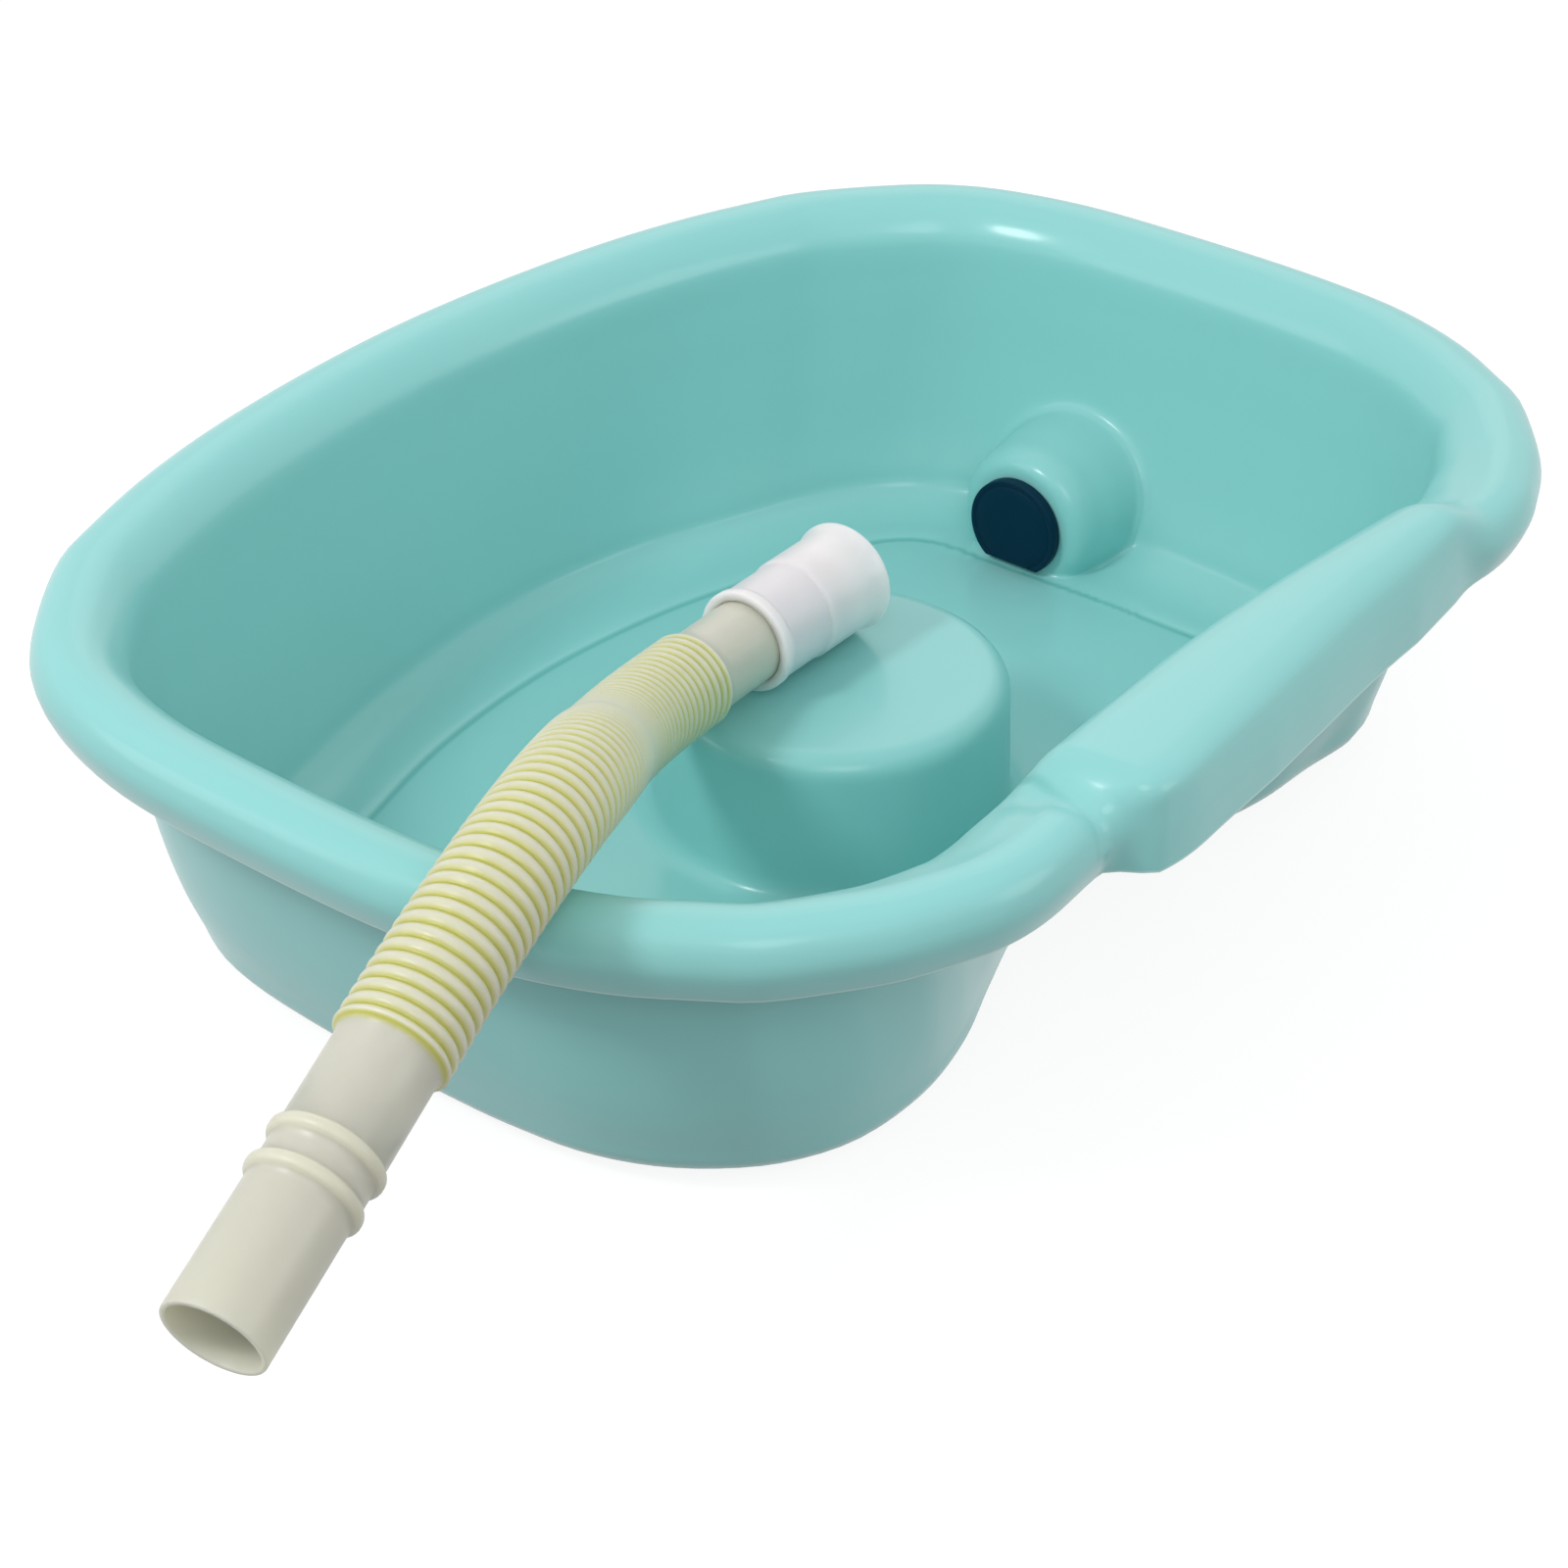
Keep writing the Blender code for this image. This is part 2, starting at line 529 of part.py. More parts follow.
def build_plug():
    """The plug, with its origin on its axis at the back of its flange. It pulls out along -Y."""
    stem = DRAIN_RADIUS - PLUG_FIT
    face = -PLUG_FLANGE_THICKNESS
    ring_out = PLUG_FLANGE_RADIUS - PLUG_RING_INSET
    ring_in = ring_out - PLUG_RING_WIDTH
    cup = stem - PLUG_WALL
    profile = [
        (0.0, 0.0),
        (cup - PLUG_STEM_TAPER, 0.0),
        (cup - PLUG_STEM_TAPER, PLUG_STEM_LENGTH),
        (stem - PLUG_STEM_TAPER, PLUG_STEM_LENGTH),
        (stem, 0.0),
        (PLUG_FLANGE_RADIUS - PLUG_FLANGE_ROUND, 0.0),
        (PLUG_FLANGE_RADIUS, -PLUG_FLANGE_ROUND),
        (PLUG_FLANGE_RADIUS, face + PLUG_FLANGE_ROUND),
        (PLUG_FLANGE_RADIUS - PLUG_FLANGE_ROUND, face),
        (ring_out, face),
        (ring_out - PLUG_RING_WIDTH / 4, face - PLUG_RING_RISE),
        (ring_in + PLUG_RING_WIDTH / 4, face - PLUG_RING_RISE),
        (ring_in, face),
        (0.0, face),
    ]
    plug = turned("drain_plug", profile, TURN_STEPS, NAVY)
    plug.matrix_world = Matrix.Translation((BOSS_X, BOSS_FACE_Y - PLUG_FIT, BOSS_Z)) @ ALONG_Y
    bpy.ops.mesh.primitive_cube_add(size=1)
    flat = bpy.context.object
    for collection in list(flat.users_collection):
        collection.objects.unlink(flat)
    cutters.objects.link(flat)
    flat.name = "plug_flat"
    # The flat is cut off the flange alone: the cutter's back lies just behind it.
    flat_depth = PLUG_FLANGE_THICKNESS + PLUG_FIT
    flat.scale = (3 * PLUG_FLANGE_RADIUS, 2 * flat_depth, PLUG_FLANGE_RADIUS)
    flat.location = (BOSS_X, BOSS_FACE_Y - flat_depth, BOSS_Z - PLUG_FLAT_DROP - PLUG_FLANGE_RADIUS / 2)
    boolean(plug, as_cutter(flat), "DIFFERENCE")
    return plug


class Route:
    """A smooth curve through the hose's points, read by the length from the mouth."""

    def __init__(self, points):
        self.dense = smooth_curve(points, OUTLINE_STEPS, False)
        steps = np.linalg.norm(np.diff(self.dense, axis=0), axis=1)
        self.lengths = np.concatenate([[0.0], np.cumsum(steps)])
        self.length = self.lengths[-1]

    def point(self, along):
        if along < 0:
            return self.dense[0] + (self.dense[0] - self.dense[1]) / self.lengths[1] * -along
        over = along - self.length
        if over > 0:
            last = self.dense[-1] - self.dense[-2]
            return self.dense[-1] + last / np.linalg.norm(last) * over
        return np.array([np.interp(along, self.lengths, self.dense[:, axis]) for axis in range(3)])


def tube(name, route, sections, depth, material, collection=None):
    """A tube along the route, as a curve of the sections' (length, radius) and then as a closed mesh."""
    data = bpy.data.curves.new(name, "CURVE")
    data.dimensions = "3D"
    data.bevel_depth = depth
    data.bevel_resolution = HOSE_SIDES_RESOLUTION
    data.use_fill_caps = True
    spline = data.splines.new("POLY")
    spline.points.add(len(sections) - 1)
    for point, (along, radius) in zip(spline.points, sections):
        point.co = (*route.point(along), 1.0)
        point.radius = radius / depth
    made = frozen(add_object(name, data, None, collection))
    if material:
        made.data.materials.append(material)
    return made


def hose_sections(length):
    """Each (length, radius) along the hose: the near cuff with its beads, the ribs and the far cuff."""
    found = [(0.0, HOSE_CUFF_RADIUS)]
    for place in HOSE_BEAD_PLACES:
        half = HOSE_BEAD_WIDTH / 2
        found.append((place - half - HOSE_BEAD_SLOPE, HOSE_CUFF_RADIUS))
        found.append((place - half, HOSE_BEAD_RADIUS))
        found.append((place + half, HOSE_BEAD_RADIUS))
        found.append((place + half + HOSE_BEAD_SLOPE, HOSE_CUFF_RADIUS))
    found.append((HOSE_RIBS_START - HOSE_SHOULDER, HOSE_CUFF_RADIUS))
    pitch = HOSE_RIBS_LENGTH / HOSE_RIBS
    for i in range(HOSE_RIBS):
        found.append((HOSE_RIBS_START + i * pitch, HOSE_RIB_RADIUS))
        found.append((HOSE_RIBS_START + (i + 0.5) * pitch, HOSE_GROOVE_RADIUS))
    ribs_end = HOSE_RIBS_START + HOSE_RIBS_LENGTH
    found.append((ribs_end, HOSE_RIB_RADIUS))
    for along in np.linspace(ribs_end + HOSE_SHOULDER, length, HOSE_CUFF_STEPS):
        found.append((along, HOSE_CUFF_RADIUS))
    return found


def build_hose(rest):
    route = Route(HOSE_ROUTE)
    hose = tube("drain_hose", route, hose_sections(route.length), HOSE_RIB_RADIUS, CREAM)
    spare = HOSE_BORE_RADIUS / 2
    places = np.linspace(-spare, route.length + spare, HOSE_BORE_STEPS)
    bore = tube("hose_bore", route, [(place, HOSE_BORE_RADIUS) for place in places], HOSE_BORE_RADIUS, None, cutters)
    boolean(hose, as_cutter(bore), "DIFFERENCE")
    hose.data.transform(Matrix.Translation(-Vector(rest.location)))
    hose.parent = rest
    print("hose length", round(float(route.length), 4))
    return hose


def build_connector(rest):
    """The connector, turned about its own axis, which runs level from its collar to its lip."""
    start = Vector((*CONNECTOR_START, HOSE_REST_LIFT))
    end = Vector((*CONNECTOR_END, HOSE_REST_LIFT))
    length = (end - start).length
    bore = HOSE_CUFF_RADIUS + CONNECTOR_FIT
    profile = [
        (bore, 0.0),
        (bore, CONNECTOR_STOP_PLACE),
        (HOSE_BORE_RADIUS, CONNECTOR_STOP_PLACE),
        (HOSE_BORE_RADIUS, CONNECTOR_STOP_PLACE + CONNECTOR_STOP_WIDTH),
        (CONNECTOR_SOCKET_RADIUS - CONNECTOR_STOP_WIDTH, CONNECTOR_STOP_PLACE + CONNECTOR_STOP_WIDTH * 2),
        (CONNECTOR_SOCKET_RADIUS, length),
        (CONNECTOR_LIP_RADIUS - CONNECTOR_EDGE, length),
        (CONNECTOR_LIP_RADIUS, length - CONNECTOR_EDGE),
        (CONNECTOR_LIP_RADIUS, length - CONNECTOR_LIP_WIDTH),
        (CONNECTOR_STEP_RADIUS, length - CONNECTOR_LIP_WIDTH - CONNECTOR_FLARE_LENGTH),
        (CONNECTOR_STEP_RADIUS, CONNECTOR_STEP_PLACE + CONNECTOR_STEP_LENGTH),
        (CONNECTOR_RADIUS, CONNECTOR_STEP_PLACE),
        (CONNECTOR_RADIUS, CONNECTOR_COLLAR_WIDTH + CONNECTOR_EDGE),
        (CONNECTOR_COLLAR_RADIUS, CONNECTOR_COLLAR_WIDTH),
        (CONNECTOR_COLLAR_RADIUS, CONNECTOR_EDGE),
        (CONNECTOR_COLLAR_RADIUS - CONNECTOR_EDGE, 0.0),
        (bore, 0.0),
    ]
    connector = turned("hose_connector", profile, CONNECTOR_TURN_STEPS, MILKY)
    turn = (end - start).to_track_quat("Z", "Y").to_matrix().to_4x4()
    connector.parent = rest
    connector.matrix_basis = Matrix.Translation(start - Vector(rest.location)) @ turn
    return connector


build_basin()
build_plug()
hose_rest = bpy.data.objects.new("hose_rest", None)
basin.objects.link(hose_rest)
hose_rest.location = (PEDESTAL_X, 0.0, PEDESTAL_HEIGHT)
build_hose(hose_rest)
build_connector(hose_rest)
bpy.context.view_layer.update()
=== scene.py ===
# %% [markdown]
# # A portable shampoo basin
# A wide plastic basin for washing somebody's hair in bed or in a chair. The bowl is moulded in one sheet of
# turquoise plastic, with a rolled lip, a raised neck rest on the lip, a round support in the middle and a
# drain on a round boss. A dark rubber plug closes the drain. A ribbed cream hose with a milky connector
# lies loose over the lip. This lesson builds the fine surface of each piece around the measured solids,
# which are loaded first and stay fixed.

import math

import bmesh
import bpy
import numpy as np
from mathutils import Matrix, Vector
from mathutils.bvhtree import BVHTree


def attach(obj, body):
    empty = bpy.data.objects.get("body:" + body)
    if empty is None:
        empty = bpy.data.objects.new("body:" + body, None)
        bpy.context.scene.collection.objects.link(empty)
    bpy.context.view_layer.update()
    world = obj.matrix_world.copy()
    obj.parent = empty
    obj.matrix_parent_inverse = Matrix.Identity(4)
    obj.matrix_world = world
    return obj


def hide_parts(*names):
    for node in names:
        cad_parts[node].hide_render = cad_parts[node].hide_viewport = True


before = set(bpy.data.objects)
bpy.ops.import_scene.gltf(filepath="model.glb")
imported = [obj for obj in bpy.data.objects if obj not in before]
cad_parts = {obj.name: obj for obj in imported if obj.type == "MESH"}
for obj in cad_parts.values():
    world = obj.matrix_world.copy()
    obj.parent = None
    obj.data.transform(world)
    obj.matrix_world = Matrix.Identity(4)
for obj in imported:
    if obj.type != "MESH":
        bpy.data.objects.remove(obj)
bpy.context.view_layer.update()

# %% [markdown]
# ## The camera
# The photograph looks down on the basin from its hose side with a long lens. A camera is a place and three
# axes, so its matrix is written from two angles: the turn about the basin and the height above the horizon.

# %% Camera
CAMERA_TURN = math.radians(-50.9)
CAMERA_HEIGHT = math.radians(33.38)
CAMERA_REACH = 1.1957
CAMERA_ASIDE = 0.00343
CAMERA_DROP = 0.00136
CAMERA_TARGET = Vector((-0.0179, 0.0, 0.0))
CAMERA_LENS = 74.1
CAMERA_SENSOR = 36

camera = bpy.data.objects.new("camera", bpy.data.cameras.new("camera"))
bpy.context.scene.collection.objects.link(camera)
camera.data.lens = CAMERA_LENS
camera.data.sensor_width = CAMERA_SENSOR
backward = Vector(
    (
        math.cos(CAMERA_HEIGHT) * math.cos(CAMERA_TURN),
        math.cos(CAMERA_HEIGHT) * math.sin(CAMERA_TURN),
        math.sin(CAMERA_HEIGHT),
    )
)
rightward = Vector((-math.sin(CAMERA_TURN), math.cos(CAMERA_TURN), 0.0))
upward = backward.cross(rightward)
place = CAMERA_TARGET + backward * CAMERA_REACH + rightward * CAMERA_ASIDE - upward * CAMERA_DROP
camera.matrix_world = Matrix(
    [(rightward[i], upward[i], backward[i], place[i]) for i in range(3)] + [(0.0, 0.0, 0.0, 1.0)]
)
bpy.context.scene.camera = camera
print("camera at", [round(x, 3) for x in place])

# %% [markdown]
# ## A sheet that is wrapped into shape
# Nearly everything here is a skin with two directions: round the piece, and along it. Blender's Grid is
# such a skin, laid flat. We add one with as many columns and rows as we need, put each of its points where
# it belongs, and merge the first column with the last, which closes the skin into a ring. Extruding a
# circle ring by ring would give the same mesh, but a hose needs hundreds of rings, and a grid makes them
# all in one step.

# %% Helper: a wrapped grid
MERGE_DISTANCE = 1e-6


def deselect():
    for other in bpy.context.selected_objects:
        other.select_set(False)


def activate(made):
    """Makes one object the only selected one and the active one."""
    deselect()
    made.select_set(True)
    bpy.context.view_layer.objects.active = made


def edit_all(made, operator, **settings):
    """Runs an operator of edit mode on the whole of an object."""
    activate(made)
    bpy.ops.object.mode_set(mode="EDIT")
    bpy.ops.mesh.select_all(action="SELECT")
    operator(**settings)
    bpy.ops.object.mode_set(mode="OBJECT")


def wrapped_grid(name, rows):
    """An object whose grid rows are the closed rings in rows, which has the shape (rows, columns, 3)."""
    rows = np.asarray(rows, float)
    count, around = rows.shape[:2]
    deselect()
    bpy.ops.mesh.primitive_grid_add(x_subdivisions=around, y_subdivisions=count - 1, size=1.0)
    made = bpy.context.object
    made.name = name
    made.data.name = name
    flat = np.zeros(len(made.data.vertices) * 3, np.float32)
    made.data.vertices.foreach_get("co", flat)
    flat = flat.reshape(-1, 3)
    column = np.rint((flat[:, 0] + 0.5) * around).astype(int) % around
    row = np.rint((flat[:, 1] + 0.5) * (count - 1)).astype(int)
    made.data.vertices.foreach_set("co", rows[row, column].astype(np.float32).ravel())
    made.data.update()
    edit_all(made, bpy.ops.mesh.remove_doubles, threshold=MERGE_DISTANCE)
    return made


def outward(made):
    """Turns the faces of a closed piece outwards and shades it smooth."""
    edit_all(made, bpy.ops.mesh.normals_make_consistent, inside=False)
    bpy.ops.object.shade_smooth()
    return made


def report(made):
    """Prints how many triangles a piece has."""
    made.data.calc_loop_triangles()
    print(made.name, len(made.data.loop_triangles), "triangles")


def full_turn(count):
    """Evenly spaced angles, once round."""
    return np.arange(count) * 2 * math.pi / count


# %% [markdown]
# ## The hose
# The drain hose is blown from cream plastic: a plain cuff with two beads at the open end, 64 fine ribs, and
# a plain cuff that the connector sits on. It lies over the lip and ends level on the round support. The
# cord comes before the bowl, so that its route is settled first. The route is a short list of points, and a
# Catmull-Rom curve, which passes through every point that it is given, makes it smooth.

# %% Hose: route
CURVE_STEPS = 24
HOSE_ROUTE = [
    (0.1353, -0.4059, 0.1060), (0.1241, -0.3610, 0.1199), (0.1125, -0.3160, 0.1338),
    (0.1056, -0.2870, 0.1431), (0.0976, -0.2572, 0.1493), (0.0871, -0.2279, 0.1494),
    (0.0733, -0.2005, 0.1420), (0.0567, -0.1772, 0.1283), (0.0388, -0.1555, 0.1118),
    (0.0219, -0.1319, 0.0975), (0.0085, -0.1035, 0.0878), (0.0004, -0.0726, 0.0824),
    (-0.0035, -0.0400, 0.0806), (-0.0043, -0.0185, 0.0806), (-0.0050, 0.0030, 0.0806),
]


def smooth_curve(points, steps, closed=False):
    """Points on a Catmull-Rom curve through the given ones."""
    given = np.array(points, float)
    if closed:
        padded = np.concatenate([given[-1:], given, given[:2]])
    else:
        padded = np.concatenate([2 * given[:1] - given[1:2], given, 2 * given[-1:] - given[-2:-1]])
    t = (np.arange(steps) / steps)[:, None]
    found = []
    for a, b, c, d in zip(padded, padded[1:], padded[2:], padded[3:]):
        bend, swing = 2 * a - 5 * b + 4 * c - d, 3 * b - a - 3 * c + d
        found.append((2 * b + (c - a) * t + bend * t**2 + swing * t**3) / 2)
    if not closed:
        found.append(given[-1:])
    return np.concatenate(found)


# %% Hose: a route that is read by its length
class Route:
    """A curve that is read by the length along it, with two directions across it that never twist."""

    def __init__(self, points):
        self.line = smooth_curve(points, CURVE_STEPS)
        steps = np.linalg.norm(np.diff(self.line, axis=0), axis=1)
        self.lengths = np.concatenate([[0.0], np.cumsum(steps)])
        self.length = self.lengths[-1]
        along = np.gradient(self.line, self.lengths, axis=0)
        self.along = along / np.linalg.norm(along, axis=1)[:, None]
        side = np.cross(self.along[0], (0.0, 0.0, 1.0))
        sides = []
        for direction in self.along:
            side = side - direction * (side @ direction)
            side = side / np.linalg.norm(side)
            sides.append(side)
        self.sides = np.array(sides)

    def read(self, values, at):
        return np.stack([np.interp(at, self.lengths, values[:, axis]) for axis in range(3)], axis=-1)

    def rings(self, sections, turns):
        """A ring of points for each section's length and radius, at the given turns about the curve."""
        at = np.array([section[0] for section in sections])
        radius = np.array([section[1] for section in sections])
        along = self.read(self.along, at)
        along /= np.linalg.norm(along, axis=1)[:, None]
        centre = self.read(self.line, at) + along * (at - np.clip(at, 0.0, self.length))[:, None]
        side = self.read(self.sides, at)
        side -= along * np.sum(side * along, axis=1)[:, None]
        side /= np.linalg.norm(side, axis=1)[:, None]
        up = np.cross(side, along)
        ring = side[:, None] * np.cos(turns)[None, :, None] + up[:, None] * np.sin(turns)[None, :, None]
        return centre[:, None] + ring * radius[:, None, None]


hose_route = Route(HOSE_ROUTE)
print("hose route", round(float(hose_route.length), 4), "m")

# %% [markdown]
# A rib is a rounded ring with a narrow groove on each side. Across one rib the radius follows a flat-topped
# bump, read at eight places. The cuffs get a small round at each open edge, because moulded plastic has no
# knife edge, and the bore runs back inside, so that the hose is a real tube with a wall.

# %% Hose: sections
HOSE_CUFF, HOSE_RIB, HOSE_GROOVE, HOSE_BORE, HOSE_BEAD = 0.0153, 0.01745, 0.0162, 0.0136, 0.0171
HOSE_BEADS, HOSE_BEAD_HALF, HOSE_BEAD_POWER = (0.0455, 0.0575), 0.0025, 3
HOSE_PLAIN_START, HOSE_PLAIN_END = 0.004, 0.04
HOSE_RIBS_START, HOSE_RIBS_LENGTH, HOSE_RIBS, HOSE_RIB_POWER = 0.093, 0.297, 64, 2.4
HOSE_RIBS_END = HOSE_RIBS_START + HOSE_RIBS_LENGTH
HOSE_SHOULDER, HOSE_SHOULDER_SHARE = 0.0022, 0.3
HOSE_EDGE, HOSE_EDGE_SHARE = 0.0005, 0.3
HOSE_RIB_READS, HOSE_BEAD_READS, HOSE_PLAIN_READS, HOSE_FAR_READS, HOSE_BORE_READS = 8, 9, 8, 12, 90
HOSE_AROUND = 56


def rib_shape(t):
    """The height of a rib, 0 in the groove and 1 on the crown, at t from 0 to 1 across it."""
    return 1.0 - abs(2 * t - 1) ** HOSE_RIB_POWER


def hose_outside():
    """The length and radius of each section of the outside, from the mouth to the far end."""
    inset = HOSE_EDGE * HOSE_EDGE_SHARE
    found = [(0.0, HOSE_CUFF - HOSE_EDGE), (inset, HOSE_CUFF - inset), (HOSE_EDGE, HOSE_CUFF)]
    found += [(at, HOSE_CUFF) for at in np.linspace(HOSE_PLAIN_START, HOSE_PLAIN_END, HOSE_PLAIN_READS)]
    for bead in HOSE_BEADS:
        for share in np.linspace(-1.0, 1.0, HOSE_BEAD_READS):
            rise = (1.0 - abs(share) ** HOSE_BEAD_POWER) * (HOSE_BEAD - HOSE_CUFF)
            found.append((bead + share * HOSE_BEAD_HALF, HOSE_CUFF + rise))
    half_way = (HOSE_CUFF + HOSE_RIB) / 2
    found.append((HOSE_RIBS_START - HOSE_SHOULDER, HOSE_CUFF))
    found.append((HOSE_RIBS_START - HOSE_SHOULDER * HOSE_SHOULDER_SHARE, half_way))
    for i in range(HOSE_RIBS * HOSE_RIB_READS + 1):
        ribs = i / HOSE_RIB_READS
        rise = rib_shape((ribs + 0.5) % 1.0) * (HOSE_RIB - HOSE_GROOVE)
        found.append((HOSE_RIBS_START + ribs * HOSE_RIBS_LENGTH / HOSE_RIBS, HOSE_GROOVE + rise))
    found.append((HOSE_RIBS_END + HOSE_SHOULDER * HOSE_SHOULDER_SHARE, half_way))
    far_end = hose_route.length - HOSE_EDGE
    found += [(at, HOSE_CUFF) for at in np.linspace(HOSE_RIBS_END + HOSE_SHOULDER, far_end, HOSE_FAR_READS)]
    found.append((hose_route.length, HOSE_CUFF - HOSE_EDGE))
    return found


def hose_inside():
    """The sections of the bore, from the far end back to the mouth."""
    rounded = HOSE_BORE + HOSE_EDGE / 2
    bore = np.linspace(hose_route.length - HOSE_EDGE, HOSE_EDGE, HOSE_BORE_READS)
    return [(hose_route.length, rounded)] + [(at, HOSE_BORE) for at in bore] + [(0.0, rounded)]


# %% Hose: mesh
outside = hose_outside()
sections = outside + hose_inside() + outside[:1]
hose = outward(wrapped_grid("hose", hose_route.rings(sections, full_turn(HOSE_AROUND))))
report(hose)

# %% [markdown]
# The hose isn't one colour all over: the ribs are cream, and the grooves are a darker, yellower olive. A
# material can't measure the distance from the route, so each point stores it in an attribute: 1 on the crown
# of a rib, 0 in a groove, and 1 on the plain cuffs.

# %% Hose: rib attribute
CHUNK = 1000
CUFF_MARGIN = 0.0002


def add_value(made, name, values):
    attribute = made.data.attributes.new(name, "FLOAT", "POINT")
    attribute.data.foreach_set("value", np.asarray(values, np.float32))


def nearest_on_route(points, route):
    """The length along the route and the distance from it, for each point."""
    found_at = np.zeros(len(points))
    found_far = np.zeros(len(points))
    for start in range(0, len(points), CHUNK):
        part = slice(start, start + CHUNK)
        best = np.linalg.norm(points[part, None] - route.line[None], axis=2).argmin(axis=1)
        away = points[part] - route.line[best]
        ahead = np.sum(away * route.along[best], axis=1)
        found_at[part] = route.lengths[best] + ahead
        found_far[part] = np.linalg.norm(away - route.along[best] * ahead[:, None], axis=1)
    return found_at, found_far


def points_of(made):
    flat = np.zeros(len(made.data.vertices) * 3, np.float32)
    made.data.vertices.foreach_get("co", flat)
    return flat.reshape(-1, 3).astype(float)


hose_at, hose_far = nearest_on_route(points_of(hose), hose_route)
ribbed = (hose_at > HOSE_RIBS_START - HOSE_SHOULDER) & (hose_at < HOSE_RIBS_END + HOSE_SHOULDER)
height = np.clip((hose_far - HOSE_GROOVE) / (HOSE_RIB - HOSE_GROOVE), 0.0, 1.0)
add_value(hose, "rib", np.where(ribbed & (hose_far > HOSE_CUFF + CUFF_MARGIN), height, 1.0))
print("ribs cover", round(float(ribbed.mean()), 2), "of the hose's points")

# %% [markdown]
# ## The connector
# A milky sleeve on the hose's far cuff. It has a collar where the hose goes in, a small step half way, a
# flared lip and an open socket. It is a turned piece, so it is a skin round a straight axis: the outline
# runs down the outside, over the lip and back through the socket.

# %% Connector
CONNECTOR_START = Vector((-0.00375, -0.0340, 0.0806))
CONNECTOR_END = Vector((-0.0058, 0.0252, 0.0806))
CONNECTOR_AROUND = 96
connector_route = Route([CONNECTOR_START, CONNECTOR_START.lerp(CONNECTOR_END, 0.5), CONNECTOR_END])
CONNECTOR_OUTSIDE = [
    (0.0, 0.0157), (0.0, 0.0185), (0.0003, 0.0189), (0.0009, 0.0191), (0.0034, 0.0191),
    (0.0042, 0.0188), (0.0047, 0.0184), (0.0056, 0.0183), (0.015, 0.0183), (0.0262, 0.0183),
    (0.0268, 0.0184), (0.0274, 0.0189), (0.0282, 0.0191), (0.0295, 0.0191), (0.042, 0.0191),
    (0.0505, 0.0191), (0.0528, 0.0193), (0.0548, 0.0197), (0.0563, 0.0202), (0.0572, 0.0205),
    (0.0580, 0.0206), (0.0587, 0.0205),
]
CONNECTOR_INSIDE = [
    (0.0592, 0.0201), (0.0592, 0.0178), (0.0588, 0.0173), (0.0575, 0.0171), (0.050, 0.0164),
    (0.0445, 0.0157), (0.0438, 0.0152), (0.0430, 0.0140), (0.0420, 0.0136), (0.0402, 0.0136),
    (0.0400, 0.0140), (0.0400, 0.0153), (0.0390, 0.0157), (0.02, 0.0157), (0.0, 0.0157),
]
stretch = (CONNECTOR_END - CONNECTOR_START).length / CONNECTOR_INSIDE[0][0]
profile = [(along * stretch, radius) for along, radius in CONNECTOR_OUTSIDE + CONNECTOR_INSIDE]
connector = outward(wrapped_grid("connector", connector_route.rings(profile, full_turn(CONNECTOR_AROUND))))
report(connector)

# %% [markdown]
# ## The bowl's outlines
# From above, the basin is a set of outlines inside each other: the crease in the floor, the ridge at the
# foot of the wall, and the lip. Each is drawn with a few points, as shares of its reach, and read at an
# angle about the middle of the round support. That gives every outline the same number of points, so rings
# of them can be joined.

# %% Bowl: outlines
SUPPORT_X = 0.009
SHEET = 0.003
TANGENT_TURN = math.radians(1)


class Outline:
    """A closed outline, read at angles about the support's middle."""

    def __init__(self, back_reach, half_length, high_shares, low_shares=None):
        half = np.array(high_shares) * (back_reach, half_length)
        low = np.array(low_shares) * (back_reach, half_length) if low_shares else half * (1, -1)
        dense = smooth_curve(np.vstack([half, low[1:-1][::-1]]), CURVE_STEPS, True) - (SUPPORT_X, 0.0)
        angles = np.arctan2(dense[:, 1], dense[:, 0])
        order = np.argsort(angles)
        self.angles = angles[order]
        self.radii = np.hypot(dense[:, 0], dense[:, 1])[order]

    def points(self, angles):
        radii = np.interp(angles, self.angles, self.radii, period=2 * math.pi)
        return np.stack([SUPPORT_X + radii * np.cos(angles), radii * np.sin(angles)], axis=1)

    def inward(self, angles):
        along = self.points(angles + TANGENT_TURN) - self.points(angles - TANGENT_TURN)
        along /= np.linalg.norm(along, axis=1)[:, None]
        return np.stack([-along[:, 1], along[:, 0]], axis=1)


